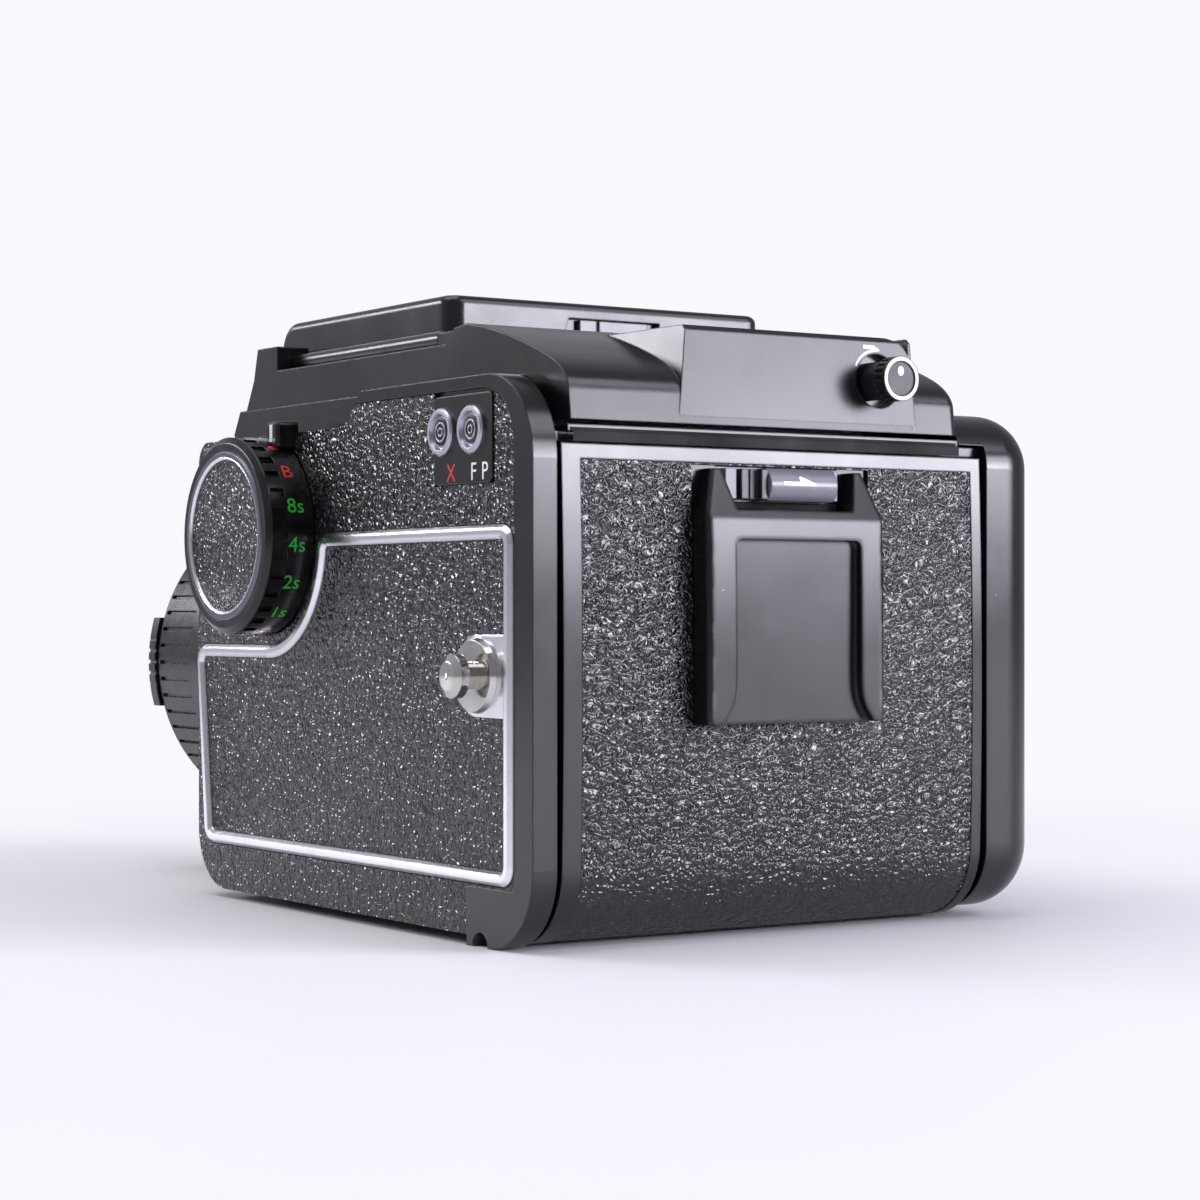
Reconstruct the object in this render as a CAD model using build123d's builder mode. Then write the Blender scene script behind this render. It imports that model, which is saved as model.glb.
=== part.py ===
"""Medium format single lens reflex film camera with a folding waist-level finder.

Millimetres, +Z up. The origin is on the base plane at the tripod socket's axis. The lens looks along -Y,
the film door is at +Y, the shutter dial is on the +X side and the winding crank on the -X side.
"""
from build123d import *
from math import cos, pi, radians, sin, sqrt
import os

os.makedirs("parts", exist_ok=True)

# Clearances
gap = 0.3  # between pieces that move past each other
running = 0.05  # radial clearance of a shaft that turns
seat_gap = 0.1  # round a fixed piece in its pocket

# Body casting
lens_height = 40.2  # optical axis above the base plane
back_y = 56.0
flange_y = -56.0  # front face of the body
left_x = 45.5
winding_side_x = -40.8  # joint line between the casting and the winding cover
underside_z = 1.6
cheek_inner_x = 41.3  # left rim beside the door starts here
body_top_z = 76.4
front_top_z = 79.9
rear_top_z = 85.3
front_bottom_radius = 10.5
front_top_radius = 4.0
rear_top_radius = 13.0
step_top_y = 4.2  # slanted step in the left side's top edge
step_bottom_y = -1.7
heel_front_y = 37.3  # the bare corner of the casting starts here
heel_notch_y = 41.2
heel_notch_radius = 2.2
leather_depth = 0.9
leather_thick = 0.8
bead_rear = 5.2  # bare edge between the leather and the rear face
bead_top = 2.0
bead_corner = 9.0

# Film door
door_left_x = 40.2
door_right_x = -39.8
door_top_z = 74.6
door_bow = 0.7  # the back is slightly convex
door_waist_z = 44.0
corner_y = 43.6  # centre of the rounding at the bottom of the back
corner_z = 12.4
door_corner_radius = 12.0
door_depth = 4.6
hinge_y = 41.0
hinge_z = 2.7
knuckle_radius = 2.2
hinge_pin_radius = 0.9
hinge_pocket_y = 38.4
body_knuckle_low_x = -0.3
body_knuckle_high_x = 15.5
door_leather_left_x = 36.9
door_leather_right_x = -37.8
door_leather_top_z = 72.4
door_leather_toe_y = 45.5
door_toe_y = 43.5
door_tray_depth = 1.8
door_knuckles = ((-31.4, -0.6), (15.8, 36.3))

# Memo holder and door latch
memo_x = 0.1  # middle of the holder
memo_well_x = -0.2  # middle of its well
memo_width = 33.7
memo_bottom_z = 33.0
memo_shoulder_z = 65.5
memo_top_z = 71.5
memo_proud = 3.9
memo_window_width = 23.8
memo_window_top_z = 60.9
memo_well_depth = 1.7
memo_flare = 8.0
memo_horn_taper = 2.4
memo_notch_flare = 0.8
memo_edge_radius = 0.9
latch_width = 23.9
latch_slider_width = 12.7
latch_slider_x = -2.2
latch_slider_z = 69.3
latch_slider_radius = 2.5
latch_travel = 2.2
latch_face_y = 58.2
latch_seat_y = 54.8
latch_thumb = 5.0
latch_tongue_width = 5.0
latch_tongue_height = 2.6

# Film chamber, gate and mirror box
film_y = 7.0  # film plane
gate_wall_y = 3.9
frame_width = 56.0
frame_height = 41.5
chamber_half = 36.8
chamber_floor_z = 8.5
chamber_top_z = 72.5
mirror_box_half = 31.0
mirror_box_front_y = -53.0
mirror_box_floor_z = 9.0
screen_z = 66.5
screen_thick = 1.6
screen_frame_thick = 2.0
screen_rear_y = 3.3
screen_end_border = 3.45  # before and behind the frame's image
screen_front_y = screen_rear_y - frame_height - 2 * screen_end_border
screen_side_border = 2.2
screen_half = frame_width / 2 + screen_side_border
screen_ledge = 1.6
throat_radius = 27.5  # bore behind the lens mount
gate_plate = 0.8
gate_rail = 0.4
gate_half_width = 35.5
gate_half_height = 27.0
curtain_thick = 0.4
curtain_overlap = 2.0

# Reflex mirror, at 45 degrees with its reflecting face through the optical axis
mirror_centre_y = -20.0
mirror_half_width = 27.0
mirror_up_length = 28.5  # from the optical axis to the hinge, along the mirror
mirror_down_length = 25.0
mirror_glass_thick = 1.5
mirror_plate = 2.0
mirror_pin_radius = 1.0
mirror_pin_length = 6.0

# Film insert
insert_half = 36.4
insert_side = 2.0
insert_rear_y = 49.0
insert_low_z = 9.0
insert_high_z = 72.0
insert_web = 1.8
insert_front_y = 9.0
insert_web_y = 15.5
insert_web_height = 44.0
pressure_plate_y = 8.7
pressure_plate_thick = 1.3
pressure_half_width = 31.5
pressure_half_height = 30.0
pressure_rear_y = 11.5
spool_y = 31.0
spool_low_z = 22.6
spool_high_z = 58.2
spool_half = 32.3
spool_flange_radius = 12.4
spool_core_radius = 5.6
spool_flange = 1.4
spool_pin_radius = 2.4
spool_pin_reach = 4.0
spool_keyway = 1.6

# Shutter dial
dial_y = -28.3
dial_z = 62.7
dial_radius = 16.5
dial_face_x = 53.9
dial_knurl = 3.6  # length of the notched grip near the face
dial_notches = 30
dial_notch_depth = 0.7
dial_ring_radius = 14.3
dial_ring_width = 1.6
dial_spindle_radius = 3.0
dial_spindle_length = 6.0
index_post_y = -21.3
index_post_z = 79.4
index_post_width = 4.2
index_post_height = 4.6
index_post_reach = 4.0

# Bright trim on the left side
trim_rear_y = 50.6
trim_front_y = -55.7
trim_toe_y = -52.4
trim_bottom_z = 9.5
trim_top_z = 62.8
trim_shelf_z = 44.3
trim_width = 2.2
trim_proud = 0.7
trim_corner = 3.0
trim_edge = 0.6

# Strap lugs
lug_y = 40.4
lug_z = 40.4
lug_flange_radius = 5.75
lug_flange_thick = 1.0
lug_neck_radius = 2.1
lug_head_radius = 3.35
lug_reach = 5.5
lug_shank_radius = 2.5
lug_shank_length = 4.0
lug_tab_radius = 6.2

# Flash socket panel
sync_low_y = 27.8
sync_high_y = 44.9
sync_low_z = 69.1
sync_high_z = 82.6
sync_panel_thick = 1.0
sync_socket_radius = 3.65
sync_socket_z = 77.2
sync_socket_high_y = 39.1
sync_socket_low_y = 30.2
sync_socket_proud = 0.7
sync_hole_radius = 1.9

# Winding cover on the right side
right_x = -53.5
cover_top_z = 82.1
cover_round = 8.2
cover_corner = 9.0  # in the side view
cover_shelf_x = -35.6  # the cover's top reaches inwards over the door's edge
cover_shelf_z = 76.7

# Winding crank
crank_y = 2.0
crank_z = 46.0
crank_hub_radius = 14.0
crank_hub_thick = 3.0
crank_spindle_radius = 4.0
crank_spindle_length = 6.0
crank_arm_length = 33.0
crank_arm_width = 11.0
crank_arm_thick = 5.0
crank_slot_width = 7.2
crank_pivot_radius = 1.1
crank_stem_radius = 1.6
crank_grip_radius = 3.0
crank_grip_length = 15.0

# Small levers and the counter window on the winding side
lever_radius = 5.5
lever_thick = 1.8
lever_tab = 9.0
lever_tab_width = 4.0
lever_stem_radius = 1.8
lever_stem_length = 4.0
mirror_lever_y = -34.0
mirror_lever_z = 62.0
multi_lever_y = 33.0
multi_lever_z = 66.0
counter_y = 24.0
counter_length = 10.0
counter_width = 6.0

# Base
base_plate_thick = 1.6
base_left_x = 36.0
base_right_x = -46.0
base_front_y = -43.0
base_rear_y = 35.0
tripod_thread_radius = 2.65
tripod_bush_radius = 6.5
tripod_depth = 7.0
battery_x = 24.0
battery_y = 12.0
battery_radius = 8.5
battery_stem_radius = 7.0
battery_stem_length = 3.0
base_screw_inset = 5.0
base_screw_right_x = -36.0
base_screw_radius = 2.0
base_screw_thread_radius = 1.0
base_screw_length = 5.0

# Front of the body
front_leather_high_x = 44.3
front_leather_low_x = -39.6
front_leather_thick = 0.6
front_leather_bottom_z = 13.0
front_leather_top_z = 74.5
mount_outer_radius = 33.0
mount_inner_radius = 26.8
mount_thick = 1.4
mount_lug_radius = 25.2
button_x = -46.6
button_z = 17.0
button_radius = 4.2
button_reach = 4.0
button_stem_radius = 1.5
button_stem_length = 6.0
button_travel = 2.0
collar_radius = 6.4
collar_thick = 2.4
release_x = 38.6
release_z = 21.0
release_radius = 4.0
release_reach = 3.2
release_stem_radius = 1.5
release_stem_length = 5.0

# Lens
lens_flange_radius = 31.5
lens_flange_thick = 3.8
bayonet_rear_y = -54.2
bayonet_radius = 25.1
bayonet_claw_angle = 44
barrel_radius = 27.0
barrel_wall = 2.0
barrel_bore_radius = barrel_radius - barrel_wall
barrel_front_y = -100.0
barrel_rear_bore = 21.5
barrel_bore_rear_y = -83.0
septum_rear_y = -58.0  # wall inside the barrel that holds the rear glass
septum_front_y = -66.0
aperture_rear_y = -61.4
aperture_front_y = -71.0
aperture_radius = barrel_radius + 4.0
aperture_ribs = 36
aperture_rib_depth = 0.8
aperture_groove_share = 0.42  # part of a rib's pitch that is groove
scale_front_y = -78.6
scale_radius = barrel_radius + 2.0
focus_rear_y = -78.9
focus_front_y = -105.2
focus_radius = barrel_radius + 4.0
focus_ribs = 60
focus_rib_depth = 0.5
focus_groove_share = 0.22
focus_collar = 12.0  # plain part of the focusing ring behind its ribs
front_rim_y = -107.0
front_rim_radius = barrel_radius + 1.6
front_bore_radius = barrel_radius + 0.3
front_tube_wall = 1.4
front_tube_rear_y = -84.0
front_glass_y = -99.0
front_glass_radius = 20.0
front_glass_thick = 5.0
front_glass_sagitta = 2.6
rear_glass_radius = 17.0
rear_glass_thick = 3.0
rear_glass_front_y = -63.0
cap_radius = barrel_radius + 1.3
cap_thick = 1.4
cap_floor = 0.6
cap_plug_radius = barrel_radius - 0.1
cap_plug_length = 1.4
cap_tab_radius = focus_radius + 0.5
cap_tab_width = 17.2
cap_tab_length = 9.0
cap_tab_travel = 1.5
cap_skirt = 1.1  # thickness of the tabs' skirts
cap_front_y = -108.6

# Waist-level finder
finder_left_x = 39.0
finder_right_x = -35.3
finder_base_z = 76.7
finder_seam_z = 78.1
finder_wall_top_z = 91.8
finder_front_y = -50.0
finder_flange_x = 40.2
finder_flange_top_z = 85.3
finder_flange_lip = 2.4  # how far the flange's toe reaches in front of the housing
finder_flange_toe = 4.0  # drop of that toe below the flange's top
finder_step_y = 43.0  # behind this the housing starts above the seam
finder_side_z = cover_top_z + gap  # foot of the right wall, above the winding cover
finder_side_reach = 3.0
crest_y = 26.5  # top of the shoulder
crest_z = 94.5
crest_length = 3.8
crest_fall = 0.4
crest_foot = 2.9  # run of the slope down to the side walls
shoulder_low_z = 82.4  # top of the shoulder's upright part
shoulder_bend_y = 48.2
shoulder_bend_z = 88.5
shoulder_mid_y = 41.5
shoulder_mid_z = 91.15
shoulder_high_y = 33.5
shoulder_high_z = 93.4
shoulder_corner = 2.0
block_left_x = 17.6  # raised block at its top
block_left_low_x = 19.6  # and at its foot
block_right_x = -26.0
block_foot_z = 79.3
block_top_z = 93.2
block_rear_y = 54.5
block_edge = 0.8
block_corner = 5.0
top_field_width = 23.4
top_field_x = -2.9
top_field_y = 42.0
top_field_length = 13.0
top_field_thick = 0.6
well_half = 28.3
well_front_y = -42.0
well_rear_y = 1.5
flap_well_half = 32.9
flap_well_front_y = -44.6
flap_well_rear_y = 8.6
flap_well_z = 91.0
flap_trough_rear_y = 13.2
flap_lug_top_z = 94.2
rear_lug_width = 1.4
rear_lug_length = 2.4
post_front_y = -45.5  # posts that the lid is hinged between
post_rear_y = -38.0
post_top_z = 96.0
post_inner_x = 32.2
post_knee_z = 90.6
post_slope = 1.5
finder_knob_x = -19.0
finder_knob_z = 86.2
finder_knob_radius = 3.5
finder_knob_reach = 5.0
finder_knob_rim = 0.8
finder_knob_grip = 2.6  # length of the fluted part
finder_knob_flutes = 20
finder_knob_flute = 0.5
finder_knob_well = 4.3
finder_knob_well_depth = 2.0
finder_knob_stem_radius = 1.5
finder_knob_stem_length = 5.0

# Hood
lid_half = 31.5
lid_rear_y = 8.0
lid_front_y = -51.5
lid_top_z = 101.3
lid_side_z = 95.1
lid_front_z = 88.4
lid_wall = 1.0
lid_front_wall = 2.6
lid_plate = 1.4
lid_edge_radius = 1.4
lid_corner = 3.0
lid_front_radius = 5.0
lid_hinge_y = -42.6
lid_hinge_z = 94.0
lid_pin_radius = 0.9
lid_pin_reach = 2.0
lid_ear = 1.8
lid_ear_radius = 1.9
catch_half = 9.8
catch_slant = 1.4
catch_depth = 1.3
catch_top_z = 98.7
catch_low_x = -7.5
catch_high_x = 6.0
catch_height = 2.2
catch_rise = 0.5  # of the catch above the middle of its recess
catch_groove = 0.6
catch_groove_x = 3.2
catch_block_half = 12.0
catch_block_depth = 3.5
catch_block_z = 95.6
flap_hinge_x = 34.7
flap_hinge_z = 93.3
flap_roll_radius = 1.45
flap_pin_radius = 0.6
flap_pin_reach = 2.5
flap_thick = 0.8
flap_width = 21.0
flap_rear_margin = 3.0
flap_front_margin = 5.0
flap_mitre = 1.2
flap_mitre_rate = 0.85
rear_flap_half = 29.7
rear_flap_tip_half = 27.0
rear_flap_length = 22.0
rear_flap_y = 5.4
rear_flap_z = 94.1
rear_flap_rise = 0.3  # underside of the rear flap above its hinge
rear_flap_thick = 0.6
rear_flap_roll_radius = 0.95
rear_flap_pin_radius = 0.5
rear_flap_pin_reach = 1.4
magnifier_y = -17.0
magnifier_radius = 12.0
magnifier_frame_width = 2.4
magnifier_thick = 1.6
magnifier_drop = 1.2  # below the lid's plate
magnifier_leg = 3.0
magnifier_leg_width = 5.0



# Planes and axes that several pieces share
lens_axis = Axis((0, 0, lens_height), (0, 1, 0))
lens_half_plane = Plane(origin=(0, 0, lens_height), x_dir=(0, 1, 0), z_dir=(1, 0, 0))
leather_floor_x = left_x - leather_depth
mount_front_y = flange_y - mount_thick


def rear_plane(y):
    """Plane facing backwards at y, with its x along -X, as seen from behind the camera."""
    return Plane(origin=(0, y, 0), x_dir=(-1, 0, 0), z_dir=(0, 1, 0))


def front_plane(y):
    """Plane facing forwards at y, with its x along +X."""
    return Plane(origin=(0, y, 0), x_dir=(1, 0, 0), z_dir=(0, -1, 0))


def side_axis(y, z):
    """Axis along X through a point of the side view."""
    return Axis((0, y, z), (1, 0, 0))


def side_half_plane(y, z):
    """Plane through a side axis, with its x along +X and its y as the radius."""
    return Plane(origin=(0, y, z), x_dir=(1, 0, 0), z_dir=(0, -1, 0))


def turned_section(points, plane=lens_half_plane):
    """Half section of a turned piece, from places along its axis and radii."""
    with BuildSketch(plane) as section:
        with BuildLine():
            Polyline(*points, close=True)
        make_face()
    return section.sketch


def cheek_outline():
    """Outline of the casting's left side, with its slanted step and its rounded corners."""
    with BuildSketch(Plane.YZ) as outline:
        with BuildLine():
            bottom = Line((flange_y + front_bottom_radius, underside_z), (heel_front_y, underside_z))
            heel_step = Line(bottom @ 1, (heel_front_y, 0))
            heel = Line(heel_step @ 1, (corner_y, 0))
            heel_arc = RadiusArc(heel @ 1, (back_y, corner_z), corner_y - back_y)
            rear = Line(heel_arc @ 1, (back_y, rear_top_z - rear_top_radius))
            rear_arc = RadiusArc(rear @ 1, (back_y - rear_top_radius, rear_top_z), -rear_top_radius)
            top = Line(rear_arc @ 1, (step_top_y, rear_top_z))
            step = Line(top @ 1, (step_bottom_y, front_top_z))
            front_top = Line(step @ 1, (flange_y + front_top_radius, front_top_z))
            front_arc_foot = (flange_y, front_top_z - front_top_radius)
            front_arc = RadiusArc(front_top @ 1, front_arc_foot, -front_top_radius)
            front = Line(front_arc @ 1, (flange_y, underside_z + front_bottom_radius))
            RadiusArc(front @ 1, bottom @ 0, -front_bottom_radius)
        make_face()
    return outline.sketch


def leather_outline(inset):
    """Outline of the leatherette's pocket in the left side, inside the casting's bead."""
    rear = back_y - bead_rear - inset
    top = rear_top_z - bead_top - inset
    slope = (step_top_y - step_bottom_y) / (rear_top_z - front_top_z)
    corner_top_y = step_top_y - bead_top - inset
    with BuildSketch(Plane.YZ) as outline:
        with BuildLine():
            Polyline(
                (flange_y - 1, -1),
                (rear, -1),
                (rear, top),
                (corner_top_y, top),
                (corner_top_y - slope * (top - front_top_z) - bead_top, front_top_z - inset),
                (flange_y - 1, front_top_z - inset),
                close=True,
            )
        make_face()
        fillet(outline.vertices().group_by(Axis.Y)[-1].sort_by(Axis.X)[-1], bead_corner)
        with BuildLine():
            Polyline(
                (heel_front_y - inset, -1),
                (rear + 1, -1),
                (rear + 1, trim_bottom_z - 0.5),
                (heel_front_y - inset, trim_bottom_z - 0.5),
                close=True,
            )
        make_face(mode=Mode.SUBTRACT)
    return outline.sketch


def trim_outline(inset):
    """Outline of the bright trim line, which bends round the shutter dial."""
    radius = dial_z - trim_shelf_z + inset
    top = trim_top_z - inset
    arc_top_y = dial_y + sqrt(radius ** 2 - (top - dial_z) ** 2)
    diagonal = radius * cos(pi / 4)
    with BuildSketch(Plane.YZ) as outline:
        with BuildLine():
            low = trim_bottom_z + inset
            bottom = Line((trim_toe_y + inset, low), (trim_rear_y - inset, low))
            rear = Line(bottom @ 1, (trim_rear_y - inset, top))
            upper = Line(rear @ 1, (arc_top_y, top))
            bend = ThreePointArc(upper @ 1, (dial_y + diagonal, dial_z - diagonal), (dial_y, dial_z - radius))
            shelf = Line(bend @ 1, (trim_front_y + inset, dial_z - radius))
            Line(shelf @ 1, bottom @ 0)
        make_face()
        corners = [corner for corner in outline.vertices() if abs(corner.X - dial_y) > 1]
        fillet(corners, max(trim_corner - inset, 1.0))
    return outline.sketch


def door_section(inset, depth):
    """Section of a layer of the film door, following its bowed back and rounded bottom edge."""
    outer = door_corner_radius - inset
    inner = outer - depth
    turn = cos(pi / 4)
    foot_y = corner_y + outer
    with BuildSketch(Plane.YZ) as section:
        with BuildLine():
            toe = Line((door_toe_y, corner_z - inner), (door_toe_y, corner_z - outer))
            heel = Line(toe @ 1, (corner_y, corner_z - outer))
            bend_middle = (corner_y + turn * outer, corner_z - turn * outer)
            bend = ThreePointArc(heel @ 1, bend_middle, (foot_y, corner_z))
            head = (back_y - door_bow - inset, door_top_z)
            back = ThreePointArc(bend @ 1, (back_y - inset, door_waist_z), head)
            top = Line(back @ 1, (corner_y + inner, door_top_z))
            seat = Line(top @ 1, (corner_y + inner, corner_z))
            inside = ThreePointArc(
                seat @ 1, (corner_y + turn * inner, corner_z - turn * inner), (corner_y, corner_z - inner)
            )
            Line(inside @ 1, toe @ 0)
        make_face()
    return section.sketch


def leather_limit(inset):
    """Window of the side view that the door's leatherette fills."""
    with BuildSketch(Plane.YZ) as limit:
        low_y = door_leather_toe_y + inset
        high_z = door_leather_top_z - inset
        with Locations(((low_y + back_y + 1) / 2, (high_z - 1) / 2)):
            Rectangle(back_y + 1 - low_y, high_z + 1)
    return limit.sketch


def lug(side, face_x):
    """Strap lug: a shank in the wall, a flange, a neck and a domed head, pointing to one side."""
    shank_x = face_x - side * lug_shank_length
    flange_x = face_x + side * lug_flange_thick
    head_x = face_x + side * lug_reach
    under_head_x = head_x - side * 2.6
    dome_x = head_x - side * 0.9
    return turned_section(
        [
            (shank_x, 0),
            (shank_x, lug_shank_radius),
            (face_x, lug_shank_radius),
            (face_x, lug_flange_radius),
            (flange_x, lug_flange_radius - 0.4),
            (flange_x, lug_neck_radius),
            (under_head_x, lug_neck_radius),
            (under_head_x + side * 0.3, lug_head_radius),
            (dome_x, lug_head_radius),
            (head_x - side * 0.2, lug_head_radius - 1.2),
            (head_x, 0),
        ],
        side_half_plane(lug_y, lug_z),
    )


def bayonet_sectors(inner_radius, outer_radius):
    """Faces of the three bayonet claws or tabs, on the front plane through the origin."""
    with BuildSketch(front_plane(0)) as sectors:
        for turn in (90, 210, 330):
            start = turn - bayonet_claw_angle / 2
            with BuildLine(Location((0, lens_height, 0))):
                inside = CenterArc((0, 0), inner_radius, start, bayonet_claw_angle)
                outside = CenterArc((0, 0), outer_radius, start, bayonet_claw_angle)
                Line(inside @ 0, outside @ 0)
                Line(inside @ 1, outside @ 1)
            make_face()
    return sectors.sketch


# Mirror hinge, just behind the upper edge of the mirror's plate
mirror_hinge_drop = mirror_glass_thick + mirror_plate / 2
diagonal = cos(pi / 4)
mirror_middle = (0, mirror_centre_y, lens_height)
mirror_plane = Plane(origin=mirror_middle, x_dir=(1, 0, 0), z_dir=(0, -diagonal, diagonal))
mirror_hinge_y = mirror_centre_y + diagonal * (mirror_up_length + mirror_hinge_drop)
mirror_hinge_z = lens_height + diagonal * (mirror_up_length - mirror_hinge_drop)

# Corners of the base plate, where its screws are
base_screw_places = [
    (x, y)
    for x in (base_screw_right_x, base_left_x - base_screw_inset)
    for y in (base_front_y + base_screw_inset, base_rear_y - base_screw_inset)
]


# Die-cast body with its film chamber, gate wall and mirror box
screen_length = screen_rear_y - screen_front_y
screen_middle_y = (screen_front_y + screen_rear_y) / 2
seat_radius = door_corner_radius - door_depth - gap
with BuildPart() as body_shell:
    with BuildSketch(Plane.YZ.offset(winding_side_x)):
        with BuildLine():
            pocket_z = corner_z - seat_radius
            core_bottom = Line((flange_y + front_bottom_radius, underside_z), (hinge_pocket_y, underside_z))
            pocket_front = Line(core_bottom @ 1, (hinge_pocket_y, pocket_z))
            pocket_roof = Line(pocket_front @ 1, (corner_y, pocket_z))
            inner_arc = RadiusArc(pocket_roof @ 1, (corner_y + seat_radius, corner_z), -seat_radius)
            door_seat = Line(inner_arc @ 1, (corner_y + seat_radius, door_top_z + gap))
            lintel_under = Line(door_seat @ 1, (back_y - 2.2, door_top_z + gap))
            lintel_rear = Line(lintel_under @ 1, (back_y - 2.2, body_top_z))
            core_top = Line(lintel_rear @ 1, (flange_y + front_top_radius, body_top_z))
            core_ridge = Line(core_top @ 1, (flange_y + front_top_radius, front_top_z))
            ridge_foot = (flange_y, front_top_z - front_top_radius)
            ridge_arc = RadiusArc(core_ridge @ 1, ridge_foot, -front_top_radius)
            core_front = Line(ridge_arc @ 1, (flange_y, underside_z + front_bottom_radius))
            RadiusArc(core_front @ 1, core_bottom @ 0, -front_bottom_radius)
        make_face()
    extrude(amount=cheek_inner_x - winding_side_x)
    extrude(cheek_outline().moved(Location((cheek_inner_x, 0, 0))), amount=left_x - cheek_inner_x)
    # film chamber, open at the back
    chamber_height = chamber_top_z - chamber_floor_z
    with BuildSketch(rear_plane(film_y)):
        with Locations((0, chamber_floor_z + chamber_height / 2)):
            RectangleRounded(2 * chamber_half, chamber_height, 1.5)
    extrude(amount=back_y - film_y, mode=Mode.SUBTRACT)
    # window in the gate wall
    with BuildSketch(rear_plane(gate_wall_y)):
        with Locations((0, lens_height)):
            Rectangle(frame_width, frame_height)
    extrude(amount=film_y - gate_wall_y, mode=Mode.SUBTRACT)
    # mirror box and the throat behind the lens mount
    box_top_z = screen_z - screen_ledge
    with BuildSketch(front_plane(gate_wall_y)):
        with Locations((0, (mirror_box_floor_z + box_top_z) / 2)):
            Rectangle(2 * mirror_box_half, box_top_z - mirror_box_floor_z)
    extrude(amount=gate_wall_y - mirror_box_front_y, mode=Mode.SUBTRACT)
    with BuildSketch(front_plane(mirror_box_front_y)):
        with Locations((0, lens_height)):
            Circle(throat_radius)
    extrude(amount=mirror_box_front_y - flange_y, mode=Mode.SUBTRACT)
    # opening over the mirror, with the ledge that the screen lies on
    with BuildSketch(Plane.XY.offset(box_top_z)):
        with Locations((0, screen_middle_y)):
            Rectangle(2 * (screen_half - screen_ledge), screen_length - 2 * screen_ledge)
    extrude(amount=body_top_z - box_top_z, mode=Mode.SUBTRACT)
    with BuildSketch(Plane.XY.offset(screen_z)):
        with Locations((0, screen_middle_y)):
            Rectangle(2 * (screen_half + seat_gap), screen_length + 2 * seat_gap)
    extrude(amount=body_top_z - screen_z, mode=Mode.SUBTRACT)
    # pocket for the leatherette and the bright trim on the left side
    pocket = cheek_outline() & leather_outline(0)
    extrude(pocket.moved(Location((leather_floor_x, 0, 0))), amount=leather_depth, mode=Mode.SUBTRACT)
    trim_pocket = trim_outline(-seat_gap).moved(Location((leather_floor_x, 0, 0)))
    extrude(trim_pocket, amount=leather_depth, mode=Mode.SUBTRACT)
    # finger notch in the bare corner
    with BuildSketch(Plane.YZ.offset(left_x)):
        with Locations((heel_notch_y, 0)):
            Circle(heel_notch_radius)
    extrude(amount=-2 * heel_notch_radius, taper=20, mode=Mode.SUBTRACT)
    # bores for the dial's spindle, the strap lug, the mirror's pins and the sync sockets
    with BuildSketch(Plane.YZ.offset(leather_floor_x)):
        with Locations((dial_y, dial_z)):
            Circle(dial_spindle_radius + running)
    extrude(amount=-(dial_spindle_length + gap), mode=Mode.SUBTRACT)
    with BuildSketch(Plane.YZ.offset(leather_floor_x)):
        with Locations((lug_y, lug_z)):
            Circle(lug_shank_radius)
    extrude(amount=-lug_shank_length, mode=Mode.SUBTRACT)
    with BuildSketch(Plane.YZ.offset(-mirror_box_half - mirror_pin_length)):
        with Locations((mirror_hinge_y, mirror_hinge_z)):
            Circle(mirror_pin_radius + running)
    extrude(amount=2 * (mirror_box_half + mirror_pin_length), mode=Mode.SUBTRACT)
    # tripod bush, battery cover and screws come up from below
    with BuildSketch(Plane.XY.offset(base_plate_thick)):
        Circle(tripod_bush_radius)
    extrude(amount=tripod_depth - base_plate_thick, mode=Mode.SUBTRACT)
    with BuildSketch(Plane.XY.offset(base_plate_thick)):
        with Locations((battery_x, battery_y)):
            Circle(battery_stem_radius + running)
    extrude(amount=battery_stem_length + gap, mode=Mode.SUBTRACT)
    with BuildSketch(Plane.XY.offset(base_plate_thick)):
        with Locations(*base_screw_places):
            Circle(base_screw_thread_radius)
    extrude(amount=base_screw_length - base_plate_thick, mode=Mode.SUBTRACT)
    # bores for the lens release and the pin of the door's hinge
    with BuildSketch(front_plane(flange_y)):
        with Locations((release_x, release_z)):
            Circle(release_stem_radius + running)
    extrude(amount=-(release_stem_length + button_travel), mode=Mode.SUBTRACT)
    # hinge knuckle for the door
    with BuildSketch(Plane.YZ.offset(body_knuckle_low_x)):
        with Locations((hinge_y, hinge_z)):
            Circle(knuckle_radius)
        with Locations(((hinge_pocket_y + hinge_y) / 2, hinge_z)):
            Rectangle(hinge_y - hinge_pocket_y, 1.6 * knuckle_radius)
    extrude(amount=body_knuckle_high_x - body_knuckle_low_x)
    with BuildSketch(Plane.YZ.offset(body_knuckle_low_x)):
        with Locations((hinge_y, hinge_z)):
            Circle(hinge_pin_radius)
    extrude(amount=body_knuckle_high_x - body_knuckle_low_x, mode=Mode.SUBTRACT)
body_shell.part.label = "body_shell"
export_step(body_shell.part, "parts/body_shell.step")


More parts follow.
